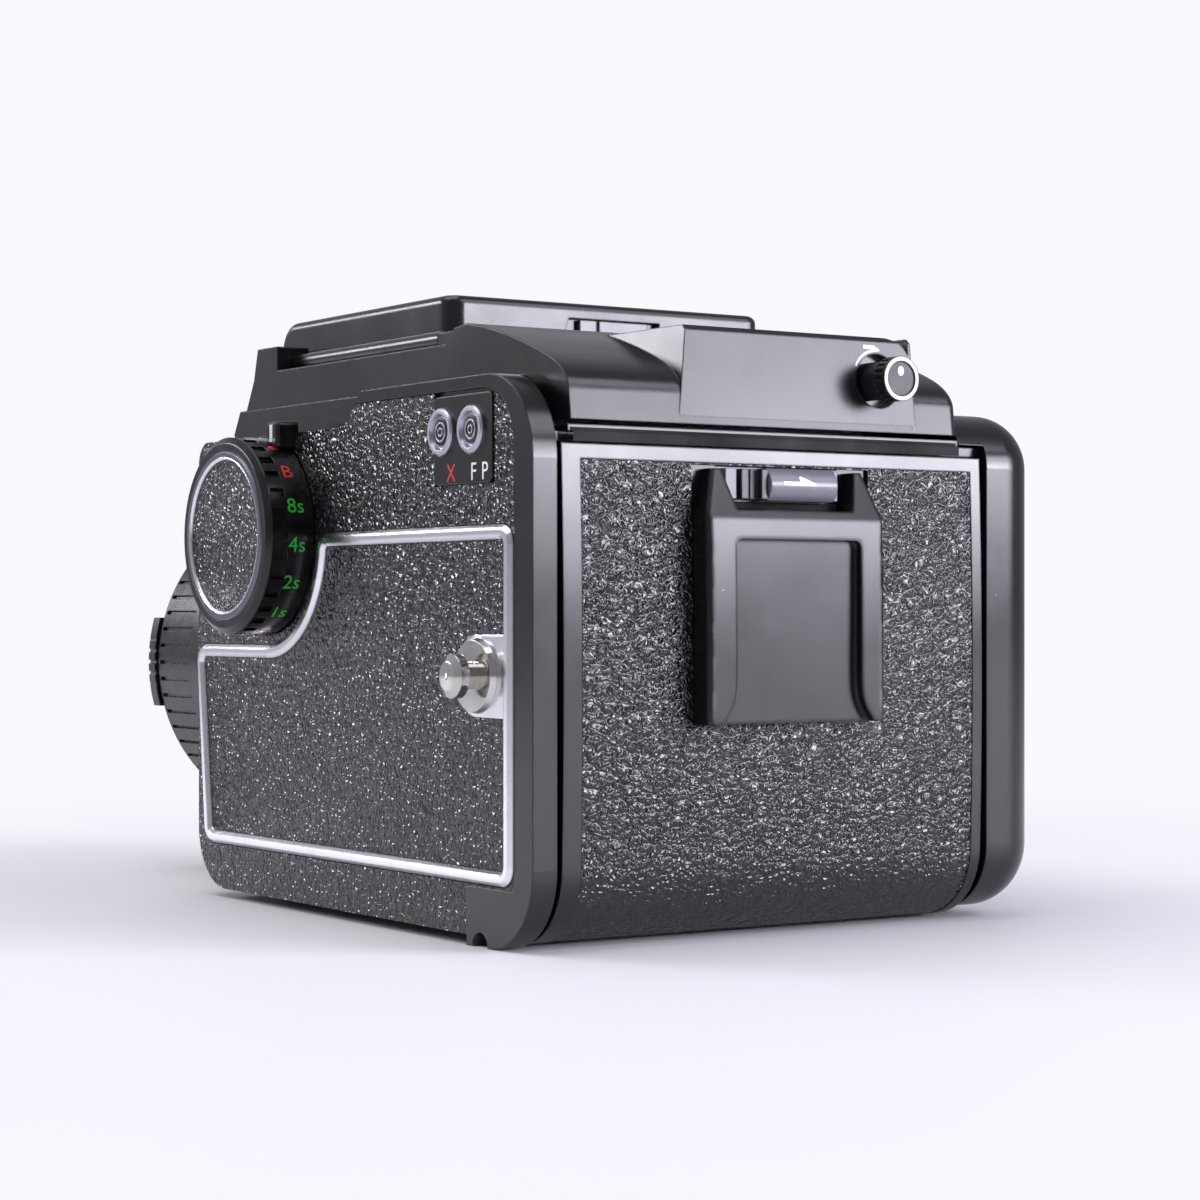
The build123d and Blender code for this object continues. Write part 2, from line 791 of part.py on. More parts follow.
# Leatherette on the left side: above the bright trim, in the strip below it, and inside it
tab_middle_y = (lug_y + trim_rear_y) / 2
with BuildPart() as left_leather:
    region = (cheek_outline() & leather_outline(seat_gap)).moved(Location((leather_floor_x, 0, 0)))
    extrude(region, amount=leather_thick)
    trim_clearance = trim_outline(-2 * seat_gap).moved(Location((leather_floor_x, 0, 0)))
    extrude(trim_clearance, amount=leather_thick, mode=Mode.SUBTRACT)
    with BuildSketch(Plane.YZ.offset(leather_floor_x)):
        with Locations((dial_y, dial_z)):
            Circle(dial_radius + gap)
        with Locations((index_post_y, index_post_z)):
            Rectangle(index_post_width + gap, index_post_height + gap)
        with Locations(((sync_low_y + sync_high_y) / 2, (sync_low_z + sync_high_z) / 2 + 1)):
            Rectangle(sync_high_y - sync_low_y + gap, sync_high_z - sync_low_z + 2 + gap)
        with Locations((sync_socket_low_y, sync_socket_z)):
            Circle(sync_socket_radius + gap)
    extrude(amount=leather_thick, mode=Mode.SUBTRACT)
    inside_trim = trim_outline(trim_width + seat_gap).moved(Location((leather_floor_x, 0, 0)))
    extrude(inside_trim, amount=leather_thick)
    with BuildSketch(Plane.YZ.offset(leather_floor_x)):
        with Locations((lug_y, lug_z)):
            Circle(lug_tab_radius + seat_gap)
        with Locations((tab_middle_y, lug_z)):
            Rectangle(trim_rear_y - lug_y, 2 * (lug_tab_radius + seat_gap))
    extrude(amount=leather_thick, mode=Mode.SUBTRACT)
left_leather.part.label = "left_leather"
export_step(left_leather.part, "parts/left_leather.step")


# Bright-plated trim line with the tab round the strap lug
with BuildPart() as left_trim_frame:
    outer_trim = trim_outline(0).moved(Location((leather_floor_x, 0, 0)))
    extrude(outer_trim, amount=leather_depth + trim_proud)
    inner_trim = trim_outline(trim_width).moved(Location((leather_floor_x, 0, 0)))
    extrude(inner_trim, amount=leather_depth + trim_proud, mode=Mode.SUBTRACT)
    chamfer(left_trim_frame.faces().sort_by(Axis.X)[-1].edges(), trim_edge)
    with BuildSketch(Plane.YZ.offset(leather_floor_x)):
        with Locations((tab_middle_y, lug_z)):
            Rectangle(trim_rear_y - lug_y - trim_width, 2 * lug_tab_radius)
        with Locations((lug_y, lug_z)):
            Circle(lug_tab_radius)
    extrude(amount=leather_depth)
    with BuildSketch(Plane.YZ.offset(leather_floor_x)):
        with Locations((lug_y, lug_z)):
            Circle(lug_shank_radius)
    extrude(amount=leather_depth, mode=Mode.SUBTRACT)
left_trim_frame.part.label = "left_trim_frame"
export_step(left_trim_frame.part, "parts/left_trim_frame.step")


# Cover of the winding mechanism, rounded on its outer edges
with BuildPart() as right_cover:
    with BuildSketch(Plane.YZ.offset(winding_side_x)):
        heel_radius = corner_z - underside_z
        with BuildLine():
            bottom = Line((flange_y + front_bottom_radius, underside_z), (back_y - heel_radius, underside_z))
            heel_arc = RadiusArc(bottom @ 1, (back_y, corner_z), -heel_radius)
            rear = Line(heel_arc @ 1, (back_y, cover_top_z - cover_corner))
            rear_arc = RadiusArc(rear @ 1, (back_y - cover_corner, cover_top_z), -cover_corner)
            top = Line(rear_arc @ 1, (flange_y + cover_corner, cover_top_z))
            front_arc = RadiusArc(top @ 1, (flange_y, cover_top_z - cover_corner), -cover_corner)
            front = Line(front_arc @ 1, (flange_y, underside_z + front_bottom_radius))
            RadiusArc(front @ 1, bottom @ 0, -front_bottom_radius)
        make_face()
    extrude(amount=right_x - winding_side_x)
    fillet(right_cover.faces().sort_by(Axis.X)[0].edges(), cover_round)
    with BuildSketch(Plane.YZ.offset(winding_side_x)):
        with BuildLine():
            arc_rise = cover_shelf_z - cover_top_z + cover_corner
            shelf_rear_y = back_y - cover_corner + sqrt(cover_corner ** 2 - arc_rise ** 2)
            shelf_bottom = Line((flange_y + 2 * cover_round, cover_shelf_z), (shelf_rear_y, cover_shelf_z))
            shelf_arc = RadiusArc(shelf_bottom @ 1, (back_y - cover_corner, cover_top_z), -cover_corner)
            shelf_top = Line(shelf_arc @ 1, (flange_y + 2 * cover_round, cover_top_z))
            Line(shelf_top @ 1, shelf_bottom @ 0)
        make_face()
    extrude(amount=cover_shelf_x - winding_side_x)
    # bores for the lug, the crank's spindle, the levers and the release button
    with BuildSketch(Plane.YZ.offset(right_x)):
        with Locations((lug_y, lug_z)):
            Circle(lug_shank_radius)
    extrude(amount=lug_shank_length, mode=Mode.SUBTRACT)
    with BuildSketch(Plane.YZ.offset(right_x)):
        with Locations((crank_y, crank_z)):
            Circle(crank_spindle_radius + running)
    extrude(amount=crank_spindle_length + gap, mode=Mode.SUBTRACT)
    with BuildSketch(Plane.YZ.offset(right_x)):
        with Locations((mirror_lever_y, mirror_lever_z), (multi_lever_y, multi_lever_z)):
            Circle(lever_stem_radius + running)
    extrude(amount=lever_stem_length + gap, mode=Mode.SUBTRACT)
    with BuildSketch(front_plane(flange_y)):
        with Locations((button_x, button_z)):
            Circle(button_stem_radius + running)
    extrude(amount=-(button_stem_length + button_travel + gap), mode=Mode.SUBTRACT)
    # seat of the frame counter's window
    with BuildSketch(Plane.XY.offset(cover_top_z)):
        with Locations((winding_side_x - 1.0, counter_y)):
            RectangleRounded(counter_width, counter_length, 1.5)
    extrude(amount=-1.2, mode=Mode.SUBTRACT)
right_cover.part.label = "right_cover"
export_step(right_cover.part, "parts/right_cover.step")


# Window of the frame counter
with BuildPart() as counter_window:
    with BuildSketch(Plane.XY.offset(cover_top_z - 1.2)):
        with Locations((winding_side_x - 1.0, counter_y)):
            RectangleRounded(counter_width, counter_length, 1.5)
    extrude(amount=1.6)
    fillet(counter_window.faces().sort_by(Axis.Z)[-1].edges(), 0.3)
counter_window.part.label = "counter_window"
export_step(counter_window.part, "parts/counter_window.step")


# Strap lugs on both sides
with BuildPart() as strap_lugs:
    revolve(lug(1, left_x), axis=side_axis(lug_y, lug_z))
    revolve(lug(-1, right_x), axis=side_axis(lug_y, lug_z))
strap_lugs.part.label = "strap_lugs"
export_step(strap_lugs.part, "parts/strap_lugs.step")


# Panel of the two flash sockets
with BuildPart() as sync_panel:
    with BuildSketch(Plane.YZ.offset(leather_floor_x)):
        with Locations(((sync_low_y + sync_high_y) / 2, (sync_low_z + sync_high_z) / 2)):
            RectangleRounded(sync_high_y - sync_low_y, sync_high_z - sync_low_z, 1.2)
    extrude(amount=sync_panel_thick)
    with BuildSketch(Plane.YZ.offset(leather_floor_x)):
        with Locations((sync_socket_low_y, sync_socket_z), (sync_socket_high_y, sync_socket_z)):
            Circle(sync_socket_radius)
    extrude(amount=sync_panel_thick, mode=Mode.SUBTRACT)
sync_panel.part.label = "sync_panel"
export_step(sync_panel.part, "parts/sync_panel.step")


# Flash sockets: a metal ring, a step and the contact in the middle
with BuildPart() as sync_sockets:
    for socket_y in (sync_socket_low_y, sync_socket_high_y):
        face_x = leather_floor_x + sync_panel_thick + sync_socket_proud
        socket_section = turned_section(
            [
                (leather_floor_x, 0),
                (leather_floor_x, sync_socket_radius),
                (face_x - 0.3, sync_socket_radius),
                (face_x, sync_socket_radius - 0.3),
                (face_x, sync_hole_radius + 0.9),
                (face_x - 0.7, sync_hole_radius + 0.6),
                (face_x - 0.7, sync_hole_radius),
                (face_x - 1.3, sync_hole_radius),
                (face_x - 1.3, 1.1),
                (face_x - 0.5, 1.1),
                (face_x - 0.5, 0.6),
                (face_x - 0.9, 0.6),
                (face_x - 0.9, 0),
            ],
            side_half_plane(socket_y, sync_socket_z),
        )
        revolve(socket_section, axis=side_axis(socket_y, sync_socket_z))
sync_sockets.part.label = "sync_sockets"
export_step(sync_sockets.part, "parts/sync_sockets.step")


# Index post beside the shutter dial
with BuildPart() as dial_index_post:
    with BuildSketch(Plane.YZ.offset(leather_floor_x)):
        with Locations((index_post_y, index_post_z)):
            RectangleRounded(index_post_width, index_post_height, 0.8)
    extrude(amount=index_post_reach)
    chamfer(dial_index_post.faces().sort_by(Axis.X)[-1].edges(), 0.5)
    with BuildSketch(Plane.YZ.offset(leather_floor_x)):
        with Locations((dial_y, dial_z)):
            Circle(dial_radius + gap)
    extrude(amount=index_post_reach, mode=Mode.SUBTRACT)
dial_index_post.part.label = "dial_index_post"
export_step(dial_index_post.part, "parts/dial_index_post.step")


# Steel ring of the lens mount, with three bayonet claws
with BuildPart() as lens_mount_ring:
    with BuildSketch(front_plane(flange_y)):
        with Locations((0, lens_height)):
            Circle(mount_outer_radius)
            Circle(mount_inner_radius, mode=Mode.SUBTRACT)
    extrude(amount=mount_thick)
    mount_claws = bayonet_sectors(mount_lug_radius, mount_inner_radius + 0.5)
    extrude(mount_claws.moved(Location((0, flange_y, 0))), amount=mount_thick)
    # heads of the four screws, let into the ring
    with BuildSketch(front_plane(mount_front_y)):
        with Locations((0, lens_height)):
            with PolarLocations((mount_outer_radius + mount_inner_radius) / 2, 4, start_angle=45):
                Circle(1.3)
                Circle(1.1, mode=Mode.SUBTRACT)
    extrude(amount=-0.3, mode=Mode.SUBTRACT)
    chamfer(lens_mount_ring.faces().sort_by(Axis.Y)[0].edges().sort_by(SortBy.LENGTH)[-1], 0.3)
lens_mount_ring.part.label = "lens_mount_ring"
export_step(lens_mount_ring.part, "parts/lens_mount_ring.step")

# Leatherette on the front, on both sides of the lens mount, and on the winding cover
with BuildPart() as front_right_leather:
    middle_x = (front_leather_high_x + front_leather_low_x) / 2
    with BuildSketch(front_plane(flange_y)):
        with Locations((middle_x, (front_leather_bottom_z + front_leather_top_z) / 2)):
            RectangleRounded(
                front_leather_high_x - front_leather_low_x, front_leather_top_z - front_leather_bottom_z, 3
            )
        with Locations((0, lens_height)):
            Circle(mount_outer_radius + gap, mode=Mode.SUBTRACT)
            Rectangle(2 * mount_outer_radius - 12, 90, mode=Mode.SUBTRACT)
        with Locations((release_x, release_z)):
            Circle(release_radius + gap, mode=Mode.SUBTRACT)
        with Locations((button_x, button_z)):
            Circle(collar_radius + gap, mode=Mode.SUBTRACT)
    extrude(amount=front_leather_thick)
    # panel on the winding cover
    with BuildSketch(Plane.YZ.offset(right_x)):
        low_y = flange_y + cover_round + 1
        high_y = back_y - cover_round - 1
        low_z = underside_z + cover_round + 2
        high_z = cover_top_z - cover_round - 1
        with Locations(((low_y + high_y) / 2, (low_z + high_z) / 2)):
            RectangleRounded(high_y - low_y, high_z - low_z, 5)
        with Locations((crank_y, crank_z)):
            Circle(crank_hub_radius + 1.5, mode=Mode.SUBTRACT)
        with Locations((lug_y, lug_z)):
            Circle(lug_flange_radius + gap, mode=Mode.SUBTRACT)
        with Locations((mirror_lever_y, mirror_lever_z), (multi_lever_y, multi_lever_z)):
            Circle(lever_tab + lever_tab_width / 2 + gap, mode=Mode.SUBTRACT)
    extrude(amount=-front_leather_thick)
front_right_leather.part.label = "front_right_leather"
export_step(front_right_leather.part, "parts/front_right_leather.step")


# Ground glass and the frame that holds it down
with BuildPart() as focusing_screen:
    with BuildSketch(Plane.XY.offset(screen_z)):
        with Locations((0, screen_middle_y)):
            Rectangle(2 * screen_half, screen_length)
    extrude(amount=screen_thick)
focusing_screen.part.label = "focusing_screen"
export_step(focusing_screen.part, "parts/focusing_screen.step")

with BuildPart() as screen_frame:
    with BuildSketch(Plane.XY.offset(screen_z + screen_thick)):
        with Locations((0, screen_middle_y)):
            Rectangle(2 * screen_half, screen_length)
            RectangleRounded(frame_width, frame_height, 1, mode=Mode.SUBTRACT)
    extrude(amount=screen_frame_thick)
screen_frame.part.label = "screen_frame"
export_step(screen_frame.part, "parts/screen_frame.step")


# Polished film gate with its two rails
with BuildPart() as film_gate:
    with BuildSketch(rear_plane(film_y)):
        with Locations((0, lens_height)):
            Rectangle(2 * gate_half_width, 2 * gate_half_height)
            Rectangle(frame_width, frame_height, mode=Mode.SUBTRACT)
    extrude(amount=gate_plate)
    with BuildSketch(rear_plane(film_y + gate_plate)):
        with Locations((-frame_width / 2 - 2, lens_height), (frame_width / 2 + 2, lens_height)):
            Rectangle(2, 2 * gate_half_height)
    extrude(amount=gate_rail)
film_gate.part.label = "film_gate"
export_step(film_gate.part, "parts/film_gate.step")


# The two closed shutter curtains, overlapping in the middle of the gate
with BuildPart() as shutter_curtains:
    curtain_height = (frame_height + curtain_overlap) / 2
    with BuildSketch(rear_plane(gate_wall_y + 0.6)):
        with Locations((0, lens_height - (frame_height - curtain_height) / 2)):
            Rectangle(frame_width, curtain_height)
    extrude(amount=curtain_thick)
    with BuildSketch(rear_plane(gate_wall_y + 0.6 + curtain_thick)):
        with Locations((0, lens_height + (frame_height - curtain_height) / 2)):
            Rectangle(frame_width, curtain_height)
    extrude(amount=curtain_thick)
shutter_curtains.part.label = "shutter_curtains"
export_step(shutter_curtains.part, "parts/shutter_curtains.step")


# Strip on the body's top, whose bright edge shows under the finder's shoulder
with BuildPart() as top_rail:
    with BuildSketch(Plane.XY.offset(body_top_z)):
        with BuildLine():
            Polyline(
                (finder_left_x, back_y - 12),
                (finder_left_x, back_y - 0.8),
                (finder_right_x, back_y - 0.8),
                (finder_right_x, back_y - 12),
                close=True,
            )
        make_face()
    extrude(amount=1.0)
top_rail.part.label = "top_rail"
export_step(top_rail.part, "parts/top_rail.step")


# Base plate with the tripod bush, the battery cover and the screws
with BuildPart() as base_plate:
    middle = ((base_left_x + base_right_x) / 2, (base_front_y + base_rear_y) / 2)
    with BuildSketch(Plane.XY):
        with Locations(middle):
            RectangleRounded(base_left_x - base_right_x, base_rear_y - base_front_y, 4)
        Circle(tripod_bush_radius, mode=Mode.SUBTRACT)
        with Locations((battery_x, battery_y)):
            Circle(battery_radius + gap, mode=Mode.SUBTRACT)
    extrude(amount=base_plate_thick)
    with BuildSketch(Plane.XY):
        with Locations(*base_screw_places):
            Circle(base_screw_radius)
    extrude(amount=base_plate_thick, mode=Mode.SUBTRACT)
base_plate.part.label = "base_plate"
export_step(base_plate.part, "parts/base_plate.step")

with BuildPart() as base_screws:
    with BuildSketch(Plane.XY.offset(0.2)):
        with Locations(*base_screw_places):
            Circle(base_screw_radius)
    extrude(amount=base_plate_thick - 0.2)
    with BuildSketch(Plane.XY.offset(base_plate_thick)):
        with Locations(*base_screw_places):
            Circle(base_screw_thread_radius)
    extrude(amount=base_screw_length - base_plate_thick)
    with BuildSketch(Plane.XY.offset(0.2)):
        with Locations(*base_screw_places):
            Rectangle(3.0, 0.6)
            Rectangle(0.6, 3.0)
    extrude(amount=0.5, mode=Mode.SUBTRACT)
base_screws.part.label = "base_screws"
export_step(base_screws.part, "parts/base_screws.step")

with BuildPart() as tripod_socket:
    with BuildSketch(Plane.XY):
        Circle(tripod_bush_radius)
        Circle(tripod_thread_radius, mode=Mode.SUBTRACT)
    extrude(amount=tripod_depth)
    mouth_edges = tripod_socket.edges().filter_by(GeomType.CIRCLE).group_by(Axis.Z)[0]
    chamfer(mouth_edges.sort_by(SortBy.LENGTH)[0], 0.4)
tripod_socket.part.label = "tripod_socket"
export_step(tripod_socket.part, "parts/tripod_socket.step")

with BuildPart() as battery_cover:
    with BuildSketch(Plane.XY.offset(0.2)):
        with Locations((battery_x, battery_y)):
            Circle(battery_radius)
    extrude(amount=base_plate_thick - 0.2)
    with BuildSketch(Plane.XY.offset(base_plate_thick)):
        with Locations((battery_x, battery_y)):
            Circle(battery_stem_radius)
    extrude(amount=battery_stem_length)
    with BuildSketch(Plane.XY.offset(0.2)):
        with Locations((battery_x, battery_y)):
            Rectangle(1.6 * battery_radius, 1.5)
    extrude(amount=0.8, mode=Mode.SUBTRACT)
battery_cover.part.label = "battery_cover"
export_step(battery_cover.part, "parts/battery_cover.step")


# Reflex mirror: the plate with its hinge pins, and the front-silvered glass on it
with BuildPart() as mirror_frame:
    with BuildSketch(mirror_plane.offset(-mirror_glass_thick - mirror_plate)):
        with BuildLine():
            Polyline(
                (-mirror_half_width, mirror_up_length - 1),
                (mirror_half_width, mirror_up_length - 1),
                (mirror_half_width, 0),
                (mirror_half_width - 4, -mirror_down_length),
                (-mirror_half_width + 4, -mirror_down_length),
                (-mirror_half_width, 0),
                close=True,
            )
        make_face()
    extrude(amount=mirror_plate)
    with BuildSketch(Plane.YZ.offset(-mirror_half_width)):
        with Locations((mirror_hinge_y, mirror_hinge_z)):
            Circle(mirror_plate / 2 + 0.5)
    extrude(amount=2 * mirror_half_width)
    with BuildSketch(Plane.YZ.offset(-mirror_box_half - mirror_pin_length + gap)):
        with Locations((mirror_hinge_y, mirror_hinge_z)):
            Circle(mirror_pin_radius)
    extrude(amount=2 * (mirror_box_half + mirror_pin_length - gap))
mirror_frame.part.label = "mirror_frame"
export_step(mirror_frame.part, "parts/mirror_frame.step")

with BuildPart() as mirror_glass:
    with BuildSketch(mirror_plane.offset(-mirror_glass_thick)):
        with BuildLine():
            Polyline(
                (-mirror_half_width + 0.8, mirror_up_length - 2.5),
                (mirror_half_width - 0.8, mirror_up_length - 2.5),
                (mirror_half_width - 0.8, 0),
                (mirror_half_width - 4.6, -mirror_down_length + 0.6),
                (-mirror_half_width + 4.6, -mirror_down_length + 0.6),
                (-mirror_half_width + 0.8, 0),
                close=True,
            )
        make_face()
    extrude(amount=mirror_glass_thick)
mirror_glass.part.label = "mirror_glass"
export_step(mirror_glass.part, "parts/mirror_glass.step")


# Shutter dial: drum with a notched grip, a bright ring and a leatherette disc
dial_base_x = leather_floor_x + gap
dial_grip_x = dial_face_x - dial_knurl
with BuildPart() as shutter_dial:
    revolve(
        turned_section(
            [
                (leather_floor_x - dial_spindle_length, 0),
                (leather_floor_x - dial_spindle_length, dial_spindle_radius),
                (dial_base_x, dial_spindle_radius),
                (dial_base_x, dial_radius - 0.4),
                (dial_base_x + 0.4, dial_radius),
                (dial_face_x - 0.8, dial_radius),
                (dial_face_x, dial_radius - 1.0),
                (dial_face_x, dial_ring_radius),
                (dial_face_x - 1.2, dial_ring_radius),
                (dial_face_x - 1.2, 0),
            ],
            side_half_plane(dial_y, dial_z),
        ),
        axis=side_axis(dial_y, dial_z),
    )
    with BuildSketch(Plane.YZ.offset(dial_grip_x)):
        with Locations((dial_y, dial_z)):
            with PolarLocations(dial_radius, dial_notches):
                Rectangle(2 * dial_notch_depth, pi * dial_radius / dial_notches)
    extrude(amount=dial_knurl - 1.2, mode=Mode.SUBTRACT)
shutter_dial.part.label = "shutter_dial"
export_step(shutter_dial.part, "parts/shutter_dial.step")

with BuildPart() as dial_ring:
    with BuildSketch(Plane.YZ.offset(dial_face_x - 1.2)):
        with Locations((dial_y, dial_z)):
            Circle(dial_ring_radius)
            Circle(dial_ring_radius - dial_ring_width, mode=Mode.SUBTRACT)
    extrude(amount=1.4)
    chamfer(dial_ring.faces().sort_by(Axis.X)[-1].edges(), 0.3)
dial_ring.part.label = "dial_ring"
export_step(dial_ring.part, "parts/dial_ring.step")

with BuildPart() as dial_leather:
    with BuildSketch(Plane.YZ.offset(dial_face_x - 1.2)):
        with Locations((dial_y, dial_z)):
            Circle(dial_ring_radius - dial_ring_width)
    extrude(amount=0.9)
dial_leather.part.label = "dial_leather"
export_step(dial_leather.part, "parts/dial_leather.step")


# Release button on the front, with the lock collar round it
with BuildPart() as button_lock_collar:
    collar_face_y = flange_y - collar_thick
    with BuildSketch(front_plane(flange_y)):
        with Locations((button_x, button_z)):
            Circle(collar_radius)
            Circle(button_radius + running, mode=Mode.SUBTRACT)
    extrude(amount=collar_thick)
    chamfer(button_lock_collar.faces().sort_by(Axis.Y)[0].edges().sort_by(SortBy.LENGTH)[-1], 0.5)
    with BuildSketch(front_plane(flange_y)):
        with Locations((button_x, button_z)):
            with PolarLocations(collar_radius, 16):
                Circle(0.4)
    extrude(amount=collar_thick, mode=Mode.SUBTRACT)
button_lock_collar.part.label = "button_lock_collar"
export_step(button_lock_collar.part, "parts/button_lock_collar.step")

button_axis = Axis((button_x, 0, button_z), (0, 1, 0))
button_half_plane = Plane(origin=(button_x, 0, button_z), x_dir=(0, 1, 0), z_dir=(1, 0, 0))
with BuildPart() as shutter_button:
    button_face_y = flange_y - button_reach
    revolve(
        turned_section(
            [
                (flange_y + button_stem_length, 0),
                (flange_y + button_stem_length, button_stem_radius),
                (flange_y - button_travel, button_stem_radius),
                (flange_y - button_travel, button_radius),
                (button_face_y + 0.4, button_radius),
                (button_face_y, button_radius - 0.4),
                (button_face_y + 0.5, 1.2),
                (button_face_y + 1.5, 1.2),
                (button_face_y + 1.5, 0),
            ],
            button_half_plane,
        ),
        axis=button_axis,
    )
shutter_button.part.label = "shutter_button"
export_step(shutter_button.part, "parts/shutter_button.step")


# Lens release button beside the mount
release_axis = Axis((release_x, 0, release_z), (0, 1, 0))
release_half_plane = Plane(origin=(release_x, 0, release_z), x_dir=(0, 1, 0), z_dir=(1, 0, 0))
with BuildPart() as lens_release_button:
    release_face_y = flange_y - release_reach
    revolve(
        turned_section(
            [
                (flange_y + release_stem_length, 0),
                (flange_y + release_stem_length, release_stem_radius),
                (flange_y - button_travel, release_stem_radius),
                (flange_y - button_travel, release_radius),
                (release_face_y + 0.4, release_radius),
                (release_face_y, release_radius - 0.4),
                (release_face_y, 0),
            ],
            release_half_plane,
        ),
        axis=release_axis,
    )
lens_release_button.part.label = "lens_release_button"
export_step(lens_release_button.part, "parts/lens_release_button.step")


def side_lever(y, z, turn):
    """Small lever on the winding cover: a disc on a stem, with a finger tab to one side."""
    with BuildPart() as lever:
        with BuildSketch(Plane.YZ.offset(right_x)):
            with Locations((y, z)):
                Circle(lever_stem_radius)
        extrude(amount=lever_stem_length)
        with BuildSketch(Plane.YZ.offset(right_x - running)):
            with Locations((y, z)):
                Circle(lever_radius)
            with Locations(Location((y, z), turn)):
                with Locations((lever_tab / 2, 0)):
                    SlotCenterToCenter(lever_tab, lever_tab_width)
        extrude(amount=-lever_thick)
        with BuildSketch(Plane.YZ.offset(right_x - running)):
            with Locations((y, z)):
                Circle(lever_stem_radius)
        extrude(amount=running + 0.01)
    return lever


mirror_lock_lever = side_lever(mirror_lever_y, mirror_lever_z, 90)
mirror_lock_lever.part.label = "mirror_lock_lever"
export_step(mirror_lock_lever.part, "parts/mirror_lock_lever.step")

multi_exposure_lever = side_lever(multi_lever_y, multi_lever_z, 180)
multi_exposure_lever.part.label = "multi_exposure_lever"
export_step(multi_exposure_lever.part, "parts/multi_exposure_lever.step")


# Winding crank: hub and forked arm in one casting, a stem that folds out of the fork, and its grip
hub_back_x = right_x - gap
hub_face_x = hub_back_x - crank_hub_thick
pivot_z = crank_z + crank_arm_length - crank_arm_width / 2
pivot_x = hub_face_x - gap - crank_grip_radius
stem_low_z = pivot_z - crank_grip_length - 5
with BuildPart() as crank_hub:
    with BuildSketch(Plane.YZ.offset(right_x + crank_spindle_length)):
        with Locations((crank_y, crank_z)):
            Circle(crank_spindle_radius)
    extrude(amount=-(crank_spindle_length + gap))
    with BuildSketch(Plane.YZ.offset(hub_back_x)):
        with Locations((crank_y, crank_z)):
            Circle(crank_hub_radius)
    extrude(amount=-crank_hub_thick)
    chamfer(crank_hub.faces().sort_by(Axis.X)[0].edges(), 0.8)
    arm_reach = crank_arm_length + crank_hub_radius - 3 - crank_arm_width
    with BuildSketch(Plane.YZ.offset(hub_face_x)):
        with Locations((crank_y, pivot_z - arm_reach / 2)):
            SlotCenterToCenter(arm_reach, crank_arm_width, rotation=90)
    extrude(amount=-crank_arm_thick)
    with BuildSketch(Plane.YZ.offset(hub_face_x)):
        slot_low_z = stem_low_z - gap
        slot_high_z = crank_z + crank_arm_length + 1
        with Locations((crank_y, (slot_low_z + slot_high_z) / 2)):
            Rectangle(crank_slot_width, slot_high_z - slot_low_z)
    extrude(amount=-crank_arm_thick, mode=Mode.SUBTRACT)
    with BuildSketch(Plane.XZ.offset(-crank_y - crank_arm_width)):
        with Locations((pivot_x, pivot_z)):
            Circle(crank_pivot_radius + running)
    extrude(amount=2 * crank_arm_width, mode=Mode.SUBTRACT)
crank_hub.part.label = "crank_hub"
export_step(crank_hub.part, "parts/crank_hub.step")

with BuildPart() as crank_stem:
    with BuildSketch(Plane.XZ.offset(-crank_y - crank_arm_width / 2)):
        with Locations((pivot_x, pivot_z)):
            Circle(crank_pivot_radius)
    extrude(amount=crank_arm_width)
    with BuildSketch(Plane.XZ.offset(-crank_y - crank_slot_width / 2 + gap)):
        with Locations((pivot_x, pivot_z)):
            Circle(2.2)
    extrude(amount=crank_slot_width - 2 * gap)
    with BuildSketch(Plane.XY.offset(stem_low_z)):
        with Locations((pivot_x, crank_y)):
            Circle(crank_stem_radius)
    extrude(amount=pivot_z - stem_low_z)
    with BuildSketch(Plane.XY.offset(stem_low_z)):
        with Locations((pivot_x, crank_y)):
            Circle(crank_stem_radius + 0.7)
    extrude(amount=0.8)
crank_stem.part.label = "crank_stem"
export_step(crank_stem.part, "parts/crank_stem.step")

with BuildPart() as crank_grip:
    grip_low_z = stem_low_z + 0.8 + gap
    with BuildSketch(Plane.XY.offset(grip_low_z)):
        with Locations((pivot_x, crank_y)):
            Circle(crank_grip_radius)
    extrude(amount=crank_grip_length)
    fillet(crank_grip.edges(), 0.8)
    with BuildSketch(Plane.XY.offset(grip_low_z)):
        with Locations((pivot_x, crank_y)):
            Circle(crank_stem_radius + running)
    extrude(amount=crank_grip_length, mode=Mode.SUBTRACT)
crank_grip.part.label = "crank_grip"
export_step(crank_grip.part, "parts/crank_grip.step")


